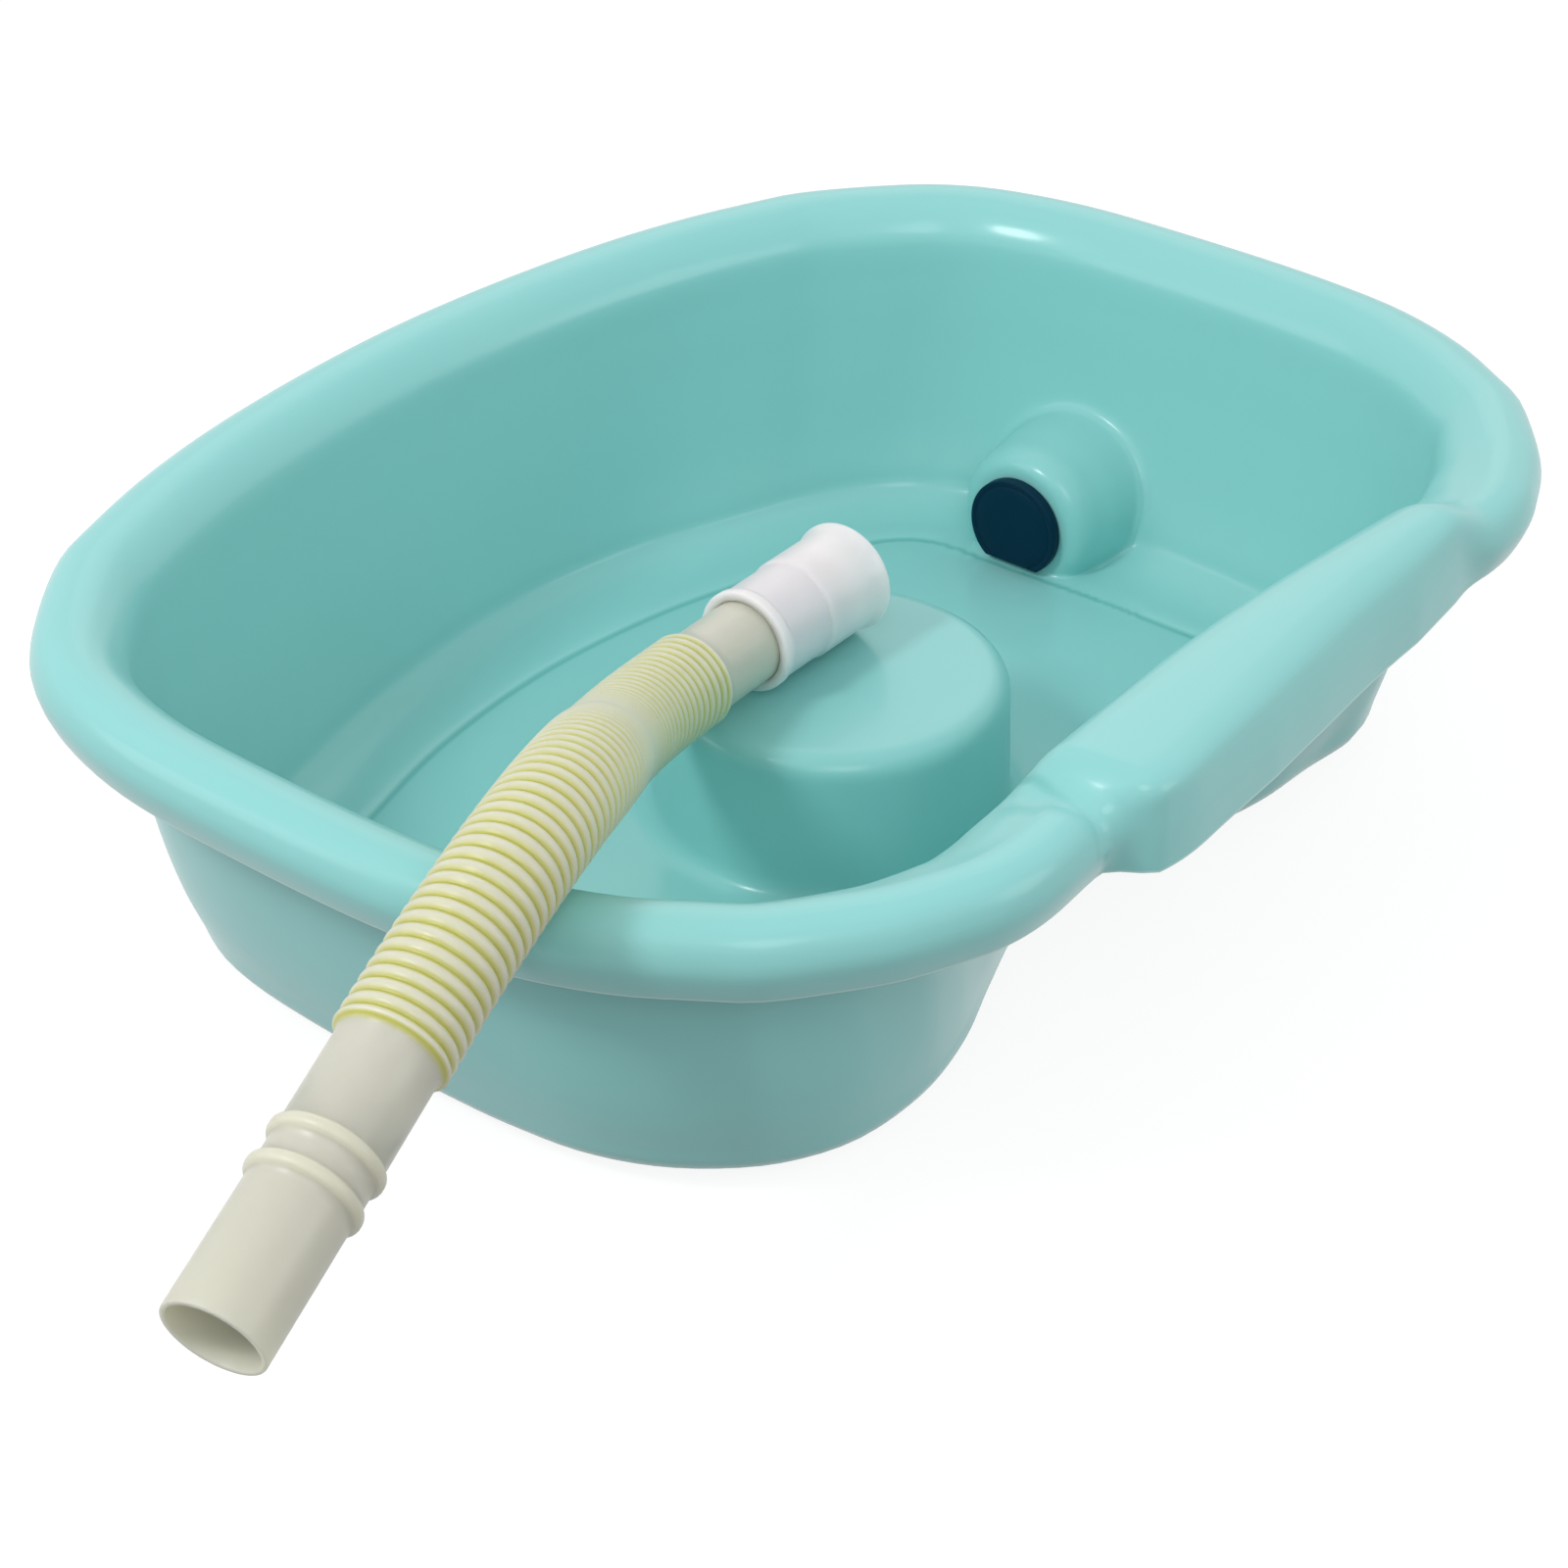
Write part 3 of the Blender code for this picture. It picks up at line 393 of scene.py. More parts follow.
RIM = Outline(0.208, 0.265, [
    (-1.0, 0.0), (-0.988, 0.19), (-0.957, 0.377), (-0.913, 0.528), (-0.855, 0.66), (-0.798, 0.755),
    (-0.663, 0.879), (-0.548, 0.943), (-0.423, 0.977), (-0.278, 0.996), (-0.087, 1.0), (0.154, 0.996),
    (0.346, 0.981), (0.467, 0.958), (0.587, 0.917), (0.683, 0.868), (0.752, 0.828), (0.82, 0.763),
    (0.875, 0.7), (0.916, 0.63), (0.942, 0.57), (0.951, 0.5), (0.943, 0.4), (0.929, 0.2), (0.923, 0.0),
])
RIDGE = Outline(0.1655, 0.211, [
    (-1.0, 0.0), (-1.0, 0.17), (-0.961, 0.355), (-0.876, 0.53), (-0.834, 0.626), (-0.785, 0.735),
    (-0.719, 0.839), (-0.622, 0.919), (-0.495, 0.967), (-0.356, 0.986), (-0.079, 1.0), (0.187, 0.995),
    (0.32, 0.983), (0.453, 0.967), (0.586, 0.934), (0.695, 0.872), (0.785, 0.787), (0.828, 0.673),
    (0.81, 0.536), (0.8, 0.41), (0.765, 0.29), (0.7, 0.175), (0.647, 0.08), (0.628, 0.0),
], [
    (-1.0, 0.0), (-0.973, -0.171), (-0.931, -0.346), (-0.864, -0.526), (-0.828, -0.621), (-0.785, -0.73),
    (-0.725, -0.839), (-0.628, -0.924), (-0.508, -0.981), (-0.363, -1.009), (-0.085, -1.019), (0.187, -1.014),
    (0.326, -1.005), (0.465, -0.986), (0.592, -0.945), (0.7, -0.882), (0.786, -0.8), (0.835, -0.703),
    (0.842, -0.568), (0.805, -0.43), (0.735, -0.3), (0.672, -0.18), (0.637, -0.08), (0.628, 0.0),
])
CREASE = Outline(0.133, 0.1805, [
    (-1.0, 0.0), (-0.985, 0.194), (-0.94, 0.404), (-0.85, 0.637), (-0.774, 0.82), (-0.707, 0.92),
    (-0.594, 0.981), (-0.376, 0.994), (0.0, 1.0), (0.301, 1.0), (0.481, 0.994), (0.639, 0.958),
    (0.752, 0.881), (0.812, 0.776), (0.827, 0.665), (0.82, 0.543), (0.808, 0.416), (0.782, 0.299),
    (0.744, 0.188), (0.707, 0.089), (0.684, 0.0),
])
print("the lip's front lies at x", round(float(RIM.points(np.array([0.0]))[0, 0]), 4))

# %% [markdown]
# ## The bowl's section
# Along one spoke, from the middle outwards, the sheet runs over the flat support, round its edge, down its
# side, through a fillet onto the floor, over the crease and the raised ledge, up the curved wall, and round
# the lip to the free edge of its skirt. On the neck-rest side the lip's section changes into a broad,
# flat-topped pad that stands about 8 mm proud. We write the rings one after another, for all spokes at
# once.

# %% Bowl: sizes
SUPPORT_RADIUS, SUPPORT_HEIGHT, SUPPORT_ROUND = 0.0635, 0.0595, 0.0085
SUPPORT_FLARE, SUPPORT_FILLET = 0.0013, 0.0075
SUPPORT_TOP_RADII, SUPPORT_SIDE_SHARES = (0.0, 0.02, 0.04, 0.052), (0.33, 0.66)
ROUND_READS, FILLET_READS = 7, 6
CREASE_WIDTH, CREASE_STEP, CREASE_DEPTH = 0.004, 0.0013, 0.0004
CREASE_ROOM_SHARE, LEDGE_ROOM_SHARE, ROOM_POWER = 0.25, 0.42, 6.0
RIDGE_HEIGHT, LEDGE_ROUND, LEDGE_DROP = 0.008, 0.011, 0.0022
CREASE_SECTION = (
    (0.5, -CREASE_DEPTH * 0.4), (0.0, -CREASE_DEPTH), (-0.5, CREASE_STEP * 0.25), (-1.0, CREASE_STEP * 0.8),
    (-1.6, CREASE_STEP),
)
WALL_RUN_SHARES = (0.11, 0.263, 0.548, 0.84, 0.95)
WALL_RISE_SHARES = (0.037, 0.111, 0.278, 0.574, 0.833)
FRONT_RUN_SHARES = (0.08, 0.18, 0.36, 0.6, 0.82)
FRONT_INSET, FRONT_START, FRONT_BLEND = 0.01, 0.5, 0.35
RIM_HEIGHT, LIP_WIDTH, LIP_DEPTH = 0.1314, 0.031, 0.0244
LIP_INSET_SHARES = (1.0, 0.915, 0.815, 0.69, 0.55, 0.387, 0.21, 0.084, 0.0, 0.052, 0.123)
LIP_RISE_SHARES = (0.369, 0.594, 0.758, 0.893, 0.975, 1.0, 0.951, 0.82, 0.512, 0.205, 0.0)
LIP_INNER_SHARE = LIP_INSET_SHARES[3]
SKIRT_Z = RIM_HEIGHT - LIP_DEPTH
WALL_TOP_Z = SKIRT_Z + LIP_RISE_SHARES[0] * LIP_DEPTH
print("the wall's top lies at z", round(WALL_TOP_Z, 4), "and the skirt's edge at", round(SKIRT_Z, 4))


# %% Bowl: the support's rings
def ring(plan, height):
    return np.column_stack([plan, np.broadcast_to(height, len(plan))])


def circle(angles, radius):
    return np.stack([SUPPORT_X + radius * np.cos(angles), radius * np.sin(angles)], axis=1)


def smooth_step(t):
    t = np.clip(t, 0.0, 1.0)
    return t * t * (3 - 2 * t)


def front_weight(angles):
    """1 on the neck-rest side, falling smoothly to 0 round the rest of the bowl."""
    return smooth_step((np.cos(angles) - FRONT_START) / FRONT_BLEND)


def lip_inset(angles, share):
    """How far inside the rim's outline a place on the lip's section lies, more in front than elsewhere."""
    spare = max(0.0, (share - LIP_INNER_SHARE) / (1 - LIP_INNER_SHARE))
    return share * LIP_WIDTH + spare * FRONT_INSET * front_weight(angles)


def support_rings(angles):
    found = [ring(circle(angles, radius), SUPPORT_HEIGHT) for radius in SUPPORT_TOP_RADII]
    for turn in np.linspace(0.0, math.pi / 2, ROUND_READS):
        radius = SUPPORT_RADIUS - SUPPORT_ROUND * (1 - math.sin(turn))
        found.append(ring(circle(angles, radius), SUPPORT_HEIGHT - SUPPORT_ROUND * (1 - math.cos(turn))))
    low, high = SHEET + SUPPORT_FILLET, SUPPORT_HEIGHT - SUPPORT_ROUND
    for share in SUPPORT_SIDE_SHARES:
        radius = SUPPORT_RADIUS + SUPPORT_FLARE * share
        found.append(ring(circle(angles, radius), low + (high - low) * (1 - share)))
    for turn in np.linspace(0.0, math.pi / 2, FILLET_READS):
        radius = SUPPORT_RADIUS + SUPPORT_FLARE + SUPPORT_FILLET * (1 - math.cos(turn))
        found.append(ring(circle(angles, radius), SHEET + SUPPORT_FILLET * (1 - math.sin(turn))))
    return found


# %% Bowl: the floor's and the wall's rings
def lesser(length, room):
    """The lesser of a length and the room for it, rounded where the two are nearly alike."""
    return (length**-ROOM_POWER + room**-ROOM_POWER) ** (-1 / ROOM_POWER)


def floor_and_wall_rings(angles):
    crease = CREASE.points(angles)
    crease_in = CREASE.inward(angles)
    ridge = RIDGE.points(angles)
    ridge_in = RIDGE.inward(angles)
    wall_top = RIM.points(angles) + RIM.inward(angles) * lip_inset(angles, 1.0)[:, None]
    front = front_weight(angles)
    foot = circle(angles, SUPPORT_RADIUS + SUPPORT_FLARE + SUPPORT_FILLET)
    room = np.linalg.norm(ridge - crease, axis=1)
    crease_in *= lesser(CREASE_WIDTH, room * CREASE_ROOM_SHARE)[:, None]
    ridge_in *= lesser(LEDGE_ROUND, room * LEDGE_ROOM_SHARE)[:, None]
    edge = crease + crease_in
    found = [ring((foot + edge) / 2, SHEET), ring(edge, SHEET)]
    for across, up in CREASE_SECTION:
        found.append(ring(crease + crease_in * across, SHEET + up))
    found.append(ring(ridge + ridge_in, RIDGE_HEIGHT - LEDGE_DROP))
    for run, front_run, rise in zip(WALL_RUN_SHARES, FRONT_RUN_SHARES, WALL_RISE_SHARES):
        plan = ridge + (wall_top - ridge) * (run + (front_run - run) * front)[:, None]
        found.append(ring(plan, RIDGE_HEIGHT + (WALL_TOP_Z - RIDGE_HEIGHT) * rise))
    return found


# %% [markdown]
# The pad is wide at its near end and narrow at its far end. Its section is drawn between four edges (the
# wall's top, the flat top's inner and outer edges, and the foot of its outer side), and a weight that goes
# smoothly from 0 to 1 near each end turns the lip's section into the pad's. A shallow valley marks where
# the lip's roll meets its near end.

# %% Bowl: neck rest
PAD_RISE = 0.008
PAD_LOW_END, PAD_LOW_BEVEL, PAD_HIGH_END, PAD_HIGH_BEVEL = -0.092, 0.013, 0.102, 0.026
PAD_LOW_SWEEP, PAD_LOW_OVERHANG = 0.036, 0.0135
PAD_VALLEY_DEPTH, PAD_VALLEY_HALF, PAD_VALLEY_FALL = 0.0035, 0.005, 1.2
PAD_LENGTH_SHARES = (0.0, 0.3, 0.45, 0.62, 0.75, 1.0)
PAD_INNER = (0.0235, 0.0165, (0.0, 0.0, 0.08, 0.3, 0.55, 1.0))
PAD_TOP = (0.034, 0.011, (0.0, 0.25, 0.4, 0.62, 0.77, 1.0))
PAD_FOOT = (PAD_LOW_OVERHANG, -0.005, (0.0, 0.03, 0.16, 0.38, 0.5, 1.0))
PAD_ACROSS = (0.0, 0.32, 0.57, 0.84, 1.1, 1.4, 1.86, 2.3, 2.69, 2.93, 2.97)
PAD_UP_SHARES = (0.278, 0.586, 0.8, 0.938, 0.99, 1.0, 0.968, 0.865, 0.64, 0.33, 0.0)


def along_pad(along, low, high, shares):
    """A width that goes from its low end's value to its high end's as the shares say."""
    return low + (high - low) * np.interp(along, PAD_LENGTH_SHARES, shares)


def lip_rings(angles):
    outer = RIM.points(angles)
    inward = RIM.inward(angles)
    y = outer[:, 1]
    low_foot, high_foot = PAD_LOW_END - PAD_LOW_BEVEL, PAD_HIGH_END + PAD_HIGH_BEVEL
    along = (y - PAD_LOW_END) / (high_foot - PAD_LOW_END)
    weight = smooth_step((y - low_foot) / PAD_LOW_BEVEL) * smooth_step((high_foot - y) / PAD_HIGH_BEVEL)
    weight = np.where(np.cos(angles) > 0, weight, 0.0)
    valley = np.exp(-(((y - low_foot + PAD_VALLEY_HALF / 2) / PAD_VALLEY_HALF) ** 2) * PAD_VALLEY_FALL)
    valley = np.where(np.cos(angles) > 0, valley * PAD_VALLEY_DEPTH, 0.0)
    inner = outer[:, 0] - along_pad(along, *PAD_INNER)
    top_edge = inner + along_pad(along, *PAD_TOP)
    foot = outer[:, 0] + along_pad(along, *PAD_FOOT)
    sweep = np.sqrt(1 - (1 - np.clip((y - low_foot) / PAD_LOW_SWEEP, 0.0, 1.0)) ** 2)
    foot -= (1 - sweep) * PAD_LOW_OVERHANG
    top_edge -= (1 - sweep) * PAD_LOW_OVERHANG
    edges = np.stack([outer[:, 0] - lip_inset(angles, 1.0), inner, top_edge, foot])
    found = []
    for inset, rise, across, up in zip(LIP_INSET_SHARES, LIP_RISE_SHARES, PAD_ACROSS, PAD_UP_SHARES):
        plan = outer + inward * lip_inset(angles, inset)[:, None]
        height = SKIRT_Z + rise * LIP_DEPTH - valley * max(0.0, rise - LIP_RISE_SHARES[0])
        lower = min(int(across), len(edges) - 2)
        pad_x = edges[lower] + (edges[lower + 1] - edges[lower]) * (across - lower)
        pad_z = SKIRT_Z + up * (LIP_DEPTH + PAD_RISE)
        plan[:, 0] += weight * (pad_x - plan[:, 0])
        found.append(ring(plan, height + weight * (pad_z - height)))
    return found


# %% [markdown]
# The rings are far apart where the sheet is straight and close where it bends. A curve through them, ring
# to ring, fills in the rest. Its steps are weighed by the distance between the rings, so that it doesn't
# swing past a tight bend: that is the centripetal kind of Catmull-Rom curve.

# %% Bowl: fine surface
LEAST_GAP = 1e-6


def fill_between(rings, longest):
    """Rings on a smooth curve through the given ones, no further apart than the longest step."""
    rings = np.array(rings)
    gaps = np.linalg.norm(np.diff(rings, axis=0), axis=2)
    typical = gaps.mean(axis=1)
    knots = np.concatenate([[0.0], np.cumsum(np.sqrt(np.maximum(typical, LEAST_GAP)))])
    slopes = np.zeros_like(rings)
    for i in range(1, len(rings) - 1):
        before, after = knots[i] - knots[i - 1], knots[i + 1] - knots[i]
        back = (rings[i] - rings[i - 1]) / before
        ahead = (rings[i + 1] - rings[i]) / after
        slopes[i] = (back * after + ahead * before) / (before + after)
    slopes[0] = (rings[1] - rings[0]) / (knots[1] - knots[0])
    slopes[-1] = (rings[-1] - rings[-2]) / (knots[-1] - knots[-2])
    found = []
    for i in range(len(rings) - 1):
        steps = max(1, int(math.ceil(typical[i] / longest)))
        width = knots[i + 1] - knots[i]
        for t in np.arange(steps) / steps:
            swing = (t**3 - 2 * t**2 + t) * slopes[i] + (t**3 - t**2) * slopes[i + 1]
            found.append(rings[i] + (rings[i + 1] - rings[i]) * smooth_step(t) + swing * width)
    found.append(rings[-1])
    return np.array(found)


# %% Bowl: spokes
LONGEST_STEP = 0.0036
FRONT_SPACING, BACK_SPACING = math.radians(0.85), math.radians(1.65)
FRONT_HALF = math.radians(47.6)


def bowl_surface(angles, finer=1):
    rings = support_rings(angles) + floor_and_wall_rings(angles) + lip_rings(angles)
    return fill_between(rings, LONGEST_STEP / finer)


def spread(start, end, spacing):
    """Evenly spaced angles from the start up to the end, which is left out."""
    return np.linspace(start, end, int(round((end - start) / spacing)), endpoint=False)


front = spread(-FRONT_HALF, FRONT_HALF, FRONT_SPACING)
back = spread(FRONT_HALF, 2 * math.pi - FRONT_HALF, BACK_SPACING)
spokes = np.concatenate([front, back])
sheet_rows = bowl_surface(spokes)
print("the sheet has", sheet_rows.shape[0], "rings of", sheet_rows.shape[1], "points")

# %% [markdown]
# ## The boss
# The drain sits on a round block that stands on the wall and runs down into the floor. A Boolean could join
# the two, but it leaves a hard line where the real mould has a fillet, and a smooth fillet needs points
# that follow it. So a window is left in the sheet, and rings are laid round the drain's axis from the hole
# out to the window's edge. Each point is found along a straight ray from one place behind the wall and
# below the floor, from which the boss, the wall and the floor can all be seen. The ray leaves the boss at
# one distance and the bowl's sheet at another, and a rounded maximum of the two is the surface, with its
# fillet.

# %% Boss: outline and window
BOSS_X, BOSS_Z, BOSS_FACE_Y = -0.0395, 0.0223, 0.1836
BOSS_RADIUS, BOSS_LENGTH, BOSS_LEAN, DRAIN_RADIUS = 0.038, 0.0335, 0.27, 0.01875
BOSS_TOP_DROP = 0.07
BOSS_PROFILE = [
    (0.0212, 0.0), (0.0242, 0.0004), (0.0268, 0.0016), (0.0288, 0.0035), (0.0302, 0.0061), (0.0312, 0.0095),
    (0.0320, 0.014), (0.0334, 0.0206), (0.0344, 0.0268), (0.0352, 0.0309), (0.0361, 0.0335),
]
RAY_BEHIND, RAY_BELOW, RAY_REACH = 0.075, 0.03, 0.16
RAY_ORIGIN = np.array([BOSS_X, BOSS_FACE_Y + RAY_BEHIND, -RAY_BELOW])
WINDOW_HALF_WIDTH, WINDOW_LOW_Y, WINDOW_TOP_Z = 0.068, 0.150, 0.094
PROBE_Z, PROBE_Y, WALL_Y, SUPPORT_ROWS = 0.05, 0.1, 0.2, 40

spoke_x = sheet_rows[:, :, 0]
spoke_y = sheet_rows[:, :, 1]
from_probe = abs(sheet_rows[:, :, 2].mean(axis=1) - PROBE_Z)
wall_row = SUPPORT_ROWS + int(np.argmin(from_probe[SUPPORT_ROWS:]))
near_boss = abs(spoke_x[wall_row] - BOSS_X) < WINDOW_HALF_WIDTH
columns = np.flatnonzero((spoke_y[wall_row] > PROBE_Y) & near_boss)
middle = columns[len(columns) // 2]
first_row = int(np.argmax(spoke_y[:, middle] > WINDOW_LOW_Y))
below_top = (sheet_rows[:, middle, 2] < WINDOW_TOP_Z) & (spoke_y[:, middle] > WALL_Y)
last_row = int(np.flatnonzero(below_top)[-1])
left, right = int(columns[0]), int(columns[-1])
print("window: columns", left, right, "rows", first_row, last_row)


def window_border():
    """The points round the window's edge, in order."""
    low = [sheet_rows[first_row, i] for i in range(left, right)]
    up = [sheet_rows[j, right] for j in range(first_row, last_row)]
    high = [sheet_rows[last_row, i] for i in range(right, left, -1)]
    down = [sheet_rows[j, left] for j in range(last_row, first_row, -1)]
    return np.array(low + up + high + down)


# %% Boss: skins to be hit by rays
FINE_MARGIN, FINE_ACROSS, FINE_ALONG = 3, 4, 3
BOSS_STEPS, BOSS_READS, BOSS_CORE, BOSS_BEHIND = 4, 361, 0.001, 0.03


def skin_tree(rows):
    count, around = rows.shape[:2]
    faces = []
    for j in range(count - 1):
        for i in range(around - 1):
            a = j * around + i
            faces.append((a, a + 1, a + 1 + around, a + around))
    return BVHTree.FromPolygons([tuple(p) for p in rows.reshape(-1, 3)], faces)


def leaned(radius, length, turn):
    """A point on the boss's side, which leans back with the wall."""
    share = min(1.0, length / BOSS_LENGTH)
    rise = radius * math.sin(turn)
    if rise > 0:
        rise *= 1 - share * BOSS_TOP_DROP
    y = BOSS_FACE_Y + length + share * BOSS_LEAN * rise
    return np.array([BOSS_X + radius * math.cos(turn), y, BOSS_Z + rise])


def round_max(a, b, width):
    """The larger of two distances, rounded where they are nearly alike."""
    spare = max(width - abs(a - b), 0.0) / width
    return max(a, b) + spare * spare * width / 4


fine_count = (right - left + 2 * FINE_MARGIN) * FINE_ACROSS + 1
fine_spokes = np.linspace(spokes[left - FINE_MARGIN], spokes[right + FINE_MARGIN], fine_count)
bowl_tree = skin_tree(bowl_surface(fine_spokes, FINE_ALONG))
flank = smooth_curve(BOSS_PROFILE, BOSS_STEPS)
boss_turns = np.linspace(-math.pi, math.pi, BOSS_READS)
boss_form = [[leaned(BOSS_CORE, 0.0, turn) for turn in boss_turns]]
boss_form += [[leaned(radius, length, turn) for turn in boss_turns] for radius, length in flank]
boss_form += [[leaned(BOSS_RADIUS, BOSS_LENGTH, turn) + (0.0, BOSS_BEHIND, 0.0) for turn in boss_turns]]
boss_tree = skin_tree(np.array(boss_form))
print("rays meet the bowl's skin with", fine_count, "columns and the boss's with", BOSS_READS)

# %% Boss: rings by rays
FACE_OUTER, FACE_READS, FLANK_END_SHARE = 0.0207, 4, 0.45
FACE_RADII = np.linspace(DRAIN_RADIUS, FACE_OUTER, FACE_READS)
FLANK_SHARES = np.linspace(0.0, FLANK_END_SHARE, len(flank))
OUTER_SHARES = np.array([0.02, 0.045, 0.08, 0.13, 0.19, 0.27, 0.36, 0.46, 0.57, 0.68, 0.79, 0.9])
UNDER_START, UNDER_END = math.radians(-28), math.radians(-52)
FILLET_BELOW, FILLET_ABOVE = 0.003, 0.006


def surface_point(target, width):
    """The point on the joined surface that lies on the ray through the target."""
    direction = Vector(target - RAY_ORIGIN).normalized()
    far = Vector(RAY_ORIGIN) + direction * RAY_REACH
    on_bowl = bowl_tree.ray_cast(far, -direction, RAY_REACH)
    on_boss = boss_tree.ray_cast(far, -direction, RAY_REACH)
    distance = RAY_REACH - on_bowl[3] if on_bowl[0] else 0.0
    if on_boss[0]:
        distance = round_max(distance, RAY_REACH - on_boss[3], width)
    return Vector(RAY_ORIGIN) + direction * distance


border = window_border()
rays = border - RAY_ORIGIN
seen = RAY_ORIGIN + rays * ((BOSS_FACE_Y - RAY_ORIGIN[1]) / rays[:, 1])[:, None]
border_turns = np.arctan2(seen[:, 2] - BOSS_Z, seen[:, 0] - BOSS_X)
patch = []
for turn, corner in zip(border_turns, border):
    sideways = turn if turn > -math.pi / 2 else -math.pi - turn
    sideways = math.pi - sideways if sideways > math.pi / 2 else sideways
    seen_share = float(smooth_step((sideways - UNDER_END) / (UNDER_START - UNDER_END)))
    width = FILLET_BELOW + (FILLET_ABOVE - FILLET_BELOW) * seen_share
    edge = leaned(BOSS_PROFILE[0][0], 0.0, turn)
    column = [leaned(radius, 0.0, turn) for radius in FACE_RADII]
    for share, (radius, length) in zip(FLANK_SHARES, flank):
        straight = edge + (corner - edge) * share
        column.append(seen_share * leaned(radius, length, turn) + (1 - seen_share) * straight)
    start = column[-1]
    for share in OUTER_SHARES:
        column.append(start + (corner - start) * share)
    patch.append([surface_point(target, width) for target in column] + [Vector(corner)])
patch_rows = np.array(patch).transpose(1, 0, 2)
print("the boss has", patch_rows.shape[0], "rings of", patch_rows.shape[1], "points")

# %% [markdown]
# Now the two skins become one. The sheet loses the faces inside the window, the boss's skin is joined to
# it, and the points that they share along the window's edge are merged. Solidify then gives the sheet its
# thickness, on the outside.

# %% Bowl: one sheet
JOIN_DISTANCE = 2e-6
KEY_DIGITS = 6


def key_of(place):
    """A point's place, rounded so that equal places compare as equal."""
    return tuple(np.round(np.array(place, np.float32), KEY_DIGITS))


def cut_window(made):
    """Deletes the faces inside the window, which are found by their points' places in the grid."""
    window = sheet_rows[first_row : last_row + 1, left : right + 1].reshape(-1, 3)
    spots = {key_of(place) for place in window}
    bpy.ops.object.mode_set(mode="EDIT")
    bpy.ops.mesh.select_mode(type="FACE")
    bpy.ops.mesh.select_all(action="DESELECT")
    work = bmesh.from_edit_mesh(made.data)
    for face in work.faces:
        face.select = all(key_of(corner.co) in spots for corner in face.verts)
    bmesh.update_edit_mesh(made.data)
    bpy.ops.mesh.delete(type="FACE")
    bpy.ops.mesh.select_mode(type="VERT")
    bpy.ops.object.mode_set(mode="OBJECT")


bowl = wrapped_grid("bowl", sheet_rows)
cut_window(bowl)
boss = wrapped_grid("boss", patch_rows)
activate(bowl)
boss.select_set(True)
bpy.ops.object.join()
edit_all(bowl, bpy.ops.mesh.remove_doubles, threshold=JOIN_DISTANCE)
edit_all(bowl, bpy.ops.mesh.normals_make_consistent, inside=False)
top = Vector((SUPPORT_X, 0.0, SUPPORT_HEIGHT))
top_face = min(bowl.data.polygons, key=lambda face: (face.center - top).length)
if top_face.normal.z < 0:
    edit_all(bowl, bpy.ops.mesh.flip_normals)
work = bmesh.new()
work.from_mesh(bowl.data)
print("open edges before the wall gets its thickness:", sum(edge.is_boundary for edge in work.edges))
work.free()

# %% Bowl: thickness
BOWL_SHARP = math.radians(40)
activate(bowl)
thickness = bowl.modifiers.new("sheet", "SOLIDIFY")
thickness.thickness = SHEET
thickness.offset = -1
bpy.ops.object.modifier_apply(modifier=thickness.name)
for vertex in bowl.data.vertices:
    vertex.co.z = max(vertex.co.z, 0.0)
bpy.ops.object.shade_smooth_by_angle(angle=BOWL_SHARP)
report(bowl)

# %% [markdown]
# The crease round the floor and the fold where the lip meets the neck rest are narrower than the mesh's
# faces. Shade falls in them, and the material paints that shade as dark lines in the colour. Each point
# stores its distance from the nearer of the two. A distance changes evenly over a face, so the material can
# draw a fine, smooth line of painted shade from it, which the points themselves could not hold. The free edge
# of the skirt is thin and catches the light, so the points store their height above it in the same way, and
# the material paints a pale highlight along it.

# %% Bowl: attributes for the painted shade lines and the painted edge highlight
FAR_FROM_LINES = 0.02
FOLD_X, FOLD_Y, FOLD_LEAN = 0.18, PAD_LOW_END - PAD_LOW_BEVEL - 0.0015, 0.35
FOLD_FROM_X, FOLD_FROM_Z = 0.1, 0.108
FOLD_START_X, FOLD_END_X, FOLD_END_SHARE = 0.158, 0.182, 0.2
LINE_TOP_Z, LINE_REACH, LINE_READS = 0.03, 0.003, 1441


def shade_line_gap(points):
    """The signed distance from the floor's crease or the lip's fold, and the strength of the painted shade
    there.
    """
    angles = np.linspace(0.0, 2 * math.pi, LINE_READS)
    line = CREASE.points(angles)
    inward = CREASE.inward(angles)
    gaps = np.full(len(points), FAR_FROM_LINES)
    low = np.flatnonzero((points[:, 2] < LINE_TOP_Z) & (points[:, 2] > SHEET / 2))
    for start in range(0, len(low), CHUNK):
        some = low[start : start + CHUNK]
        away = points[some, None, :2] - line[None]
        best = np.linalg.norm(away, axis=2).argmin(axis=1)
        rows = np.arange(len(some))
        gaps[some] = np.sum(away[rows, best] * inward[best], axis=1)
    fold = points[:, 1] - FOLD_Y + (points[:, 0] - FOLD_X) * FOLD_LEAN
    on_fold = (points[:, 0] > FOLD_FROM_X) & (points[:, 2] > FOLD_FROM_Z) & (abs(fold) < FAR_FROM_LINES)
    gaps = np.where(on_fold, fold, gaps)
    strength = np.clip(2.0 - abs(gaps) / LINE_REACH, 0.0, 1.0)
    fold_strength = np.interp(points[:, 0], (FOLD_START_X, FOLD_END_X), (1.0, FOLD_END_SHARE))
    return gaps, np.where(on_fold, strength * fold_strength, strength)


def highlight_edge_gap(points):
    """The height above the free edge of the skirt, where a highlight is painted, for the lip's outer half,
    and a large one elsewhere.
    """
    away = points[:, :2] - (SUPPORT_X, 0.0)
    rim = RIM.points(np.arctan2(away[:, 1], away[:, 0])) - (SUPPORT_X, 0.0)
    outside = np.linalg.norm(away, axis=1) > np.linalg.norm(rim, axis=1) - LIP_WIDTH / 2
    return np.where(outside, points[:, 2] - SKIRT_Z, FAR_FROM_LINES)
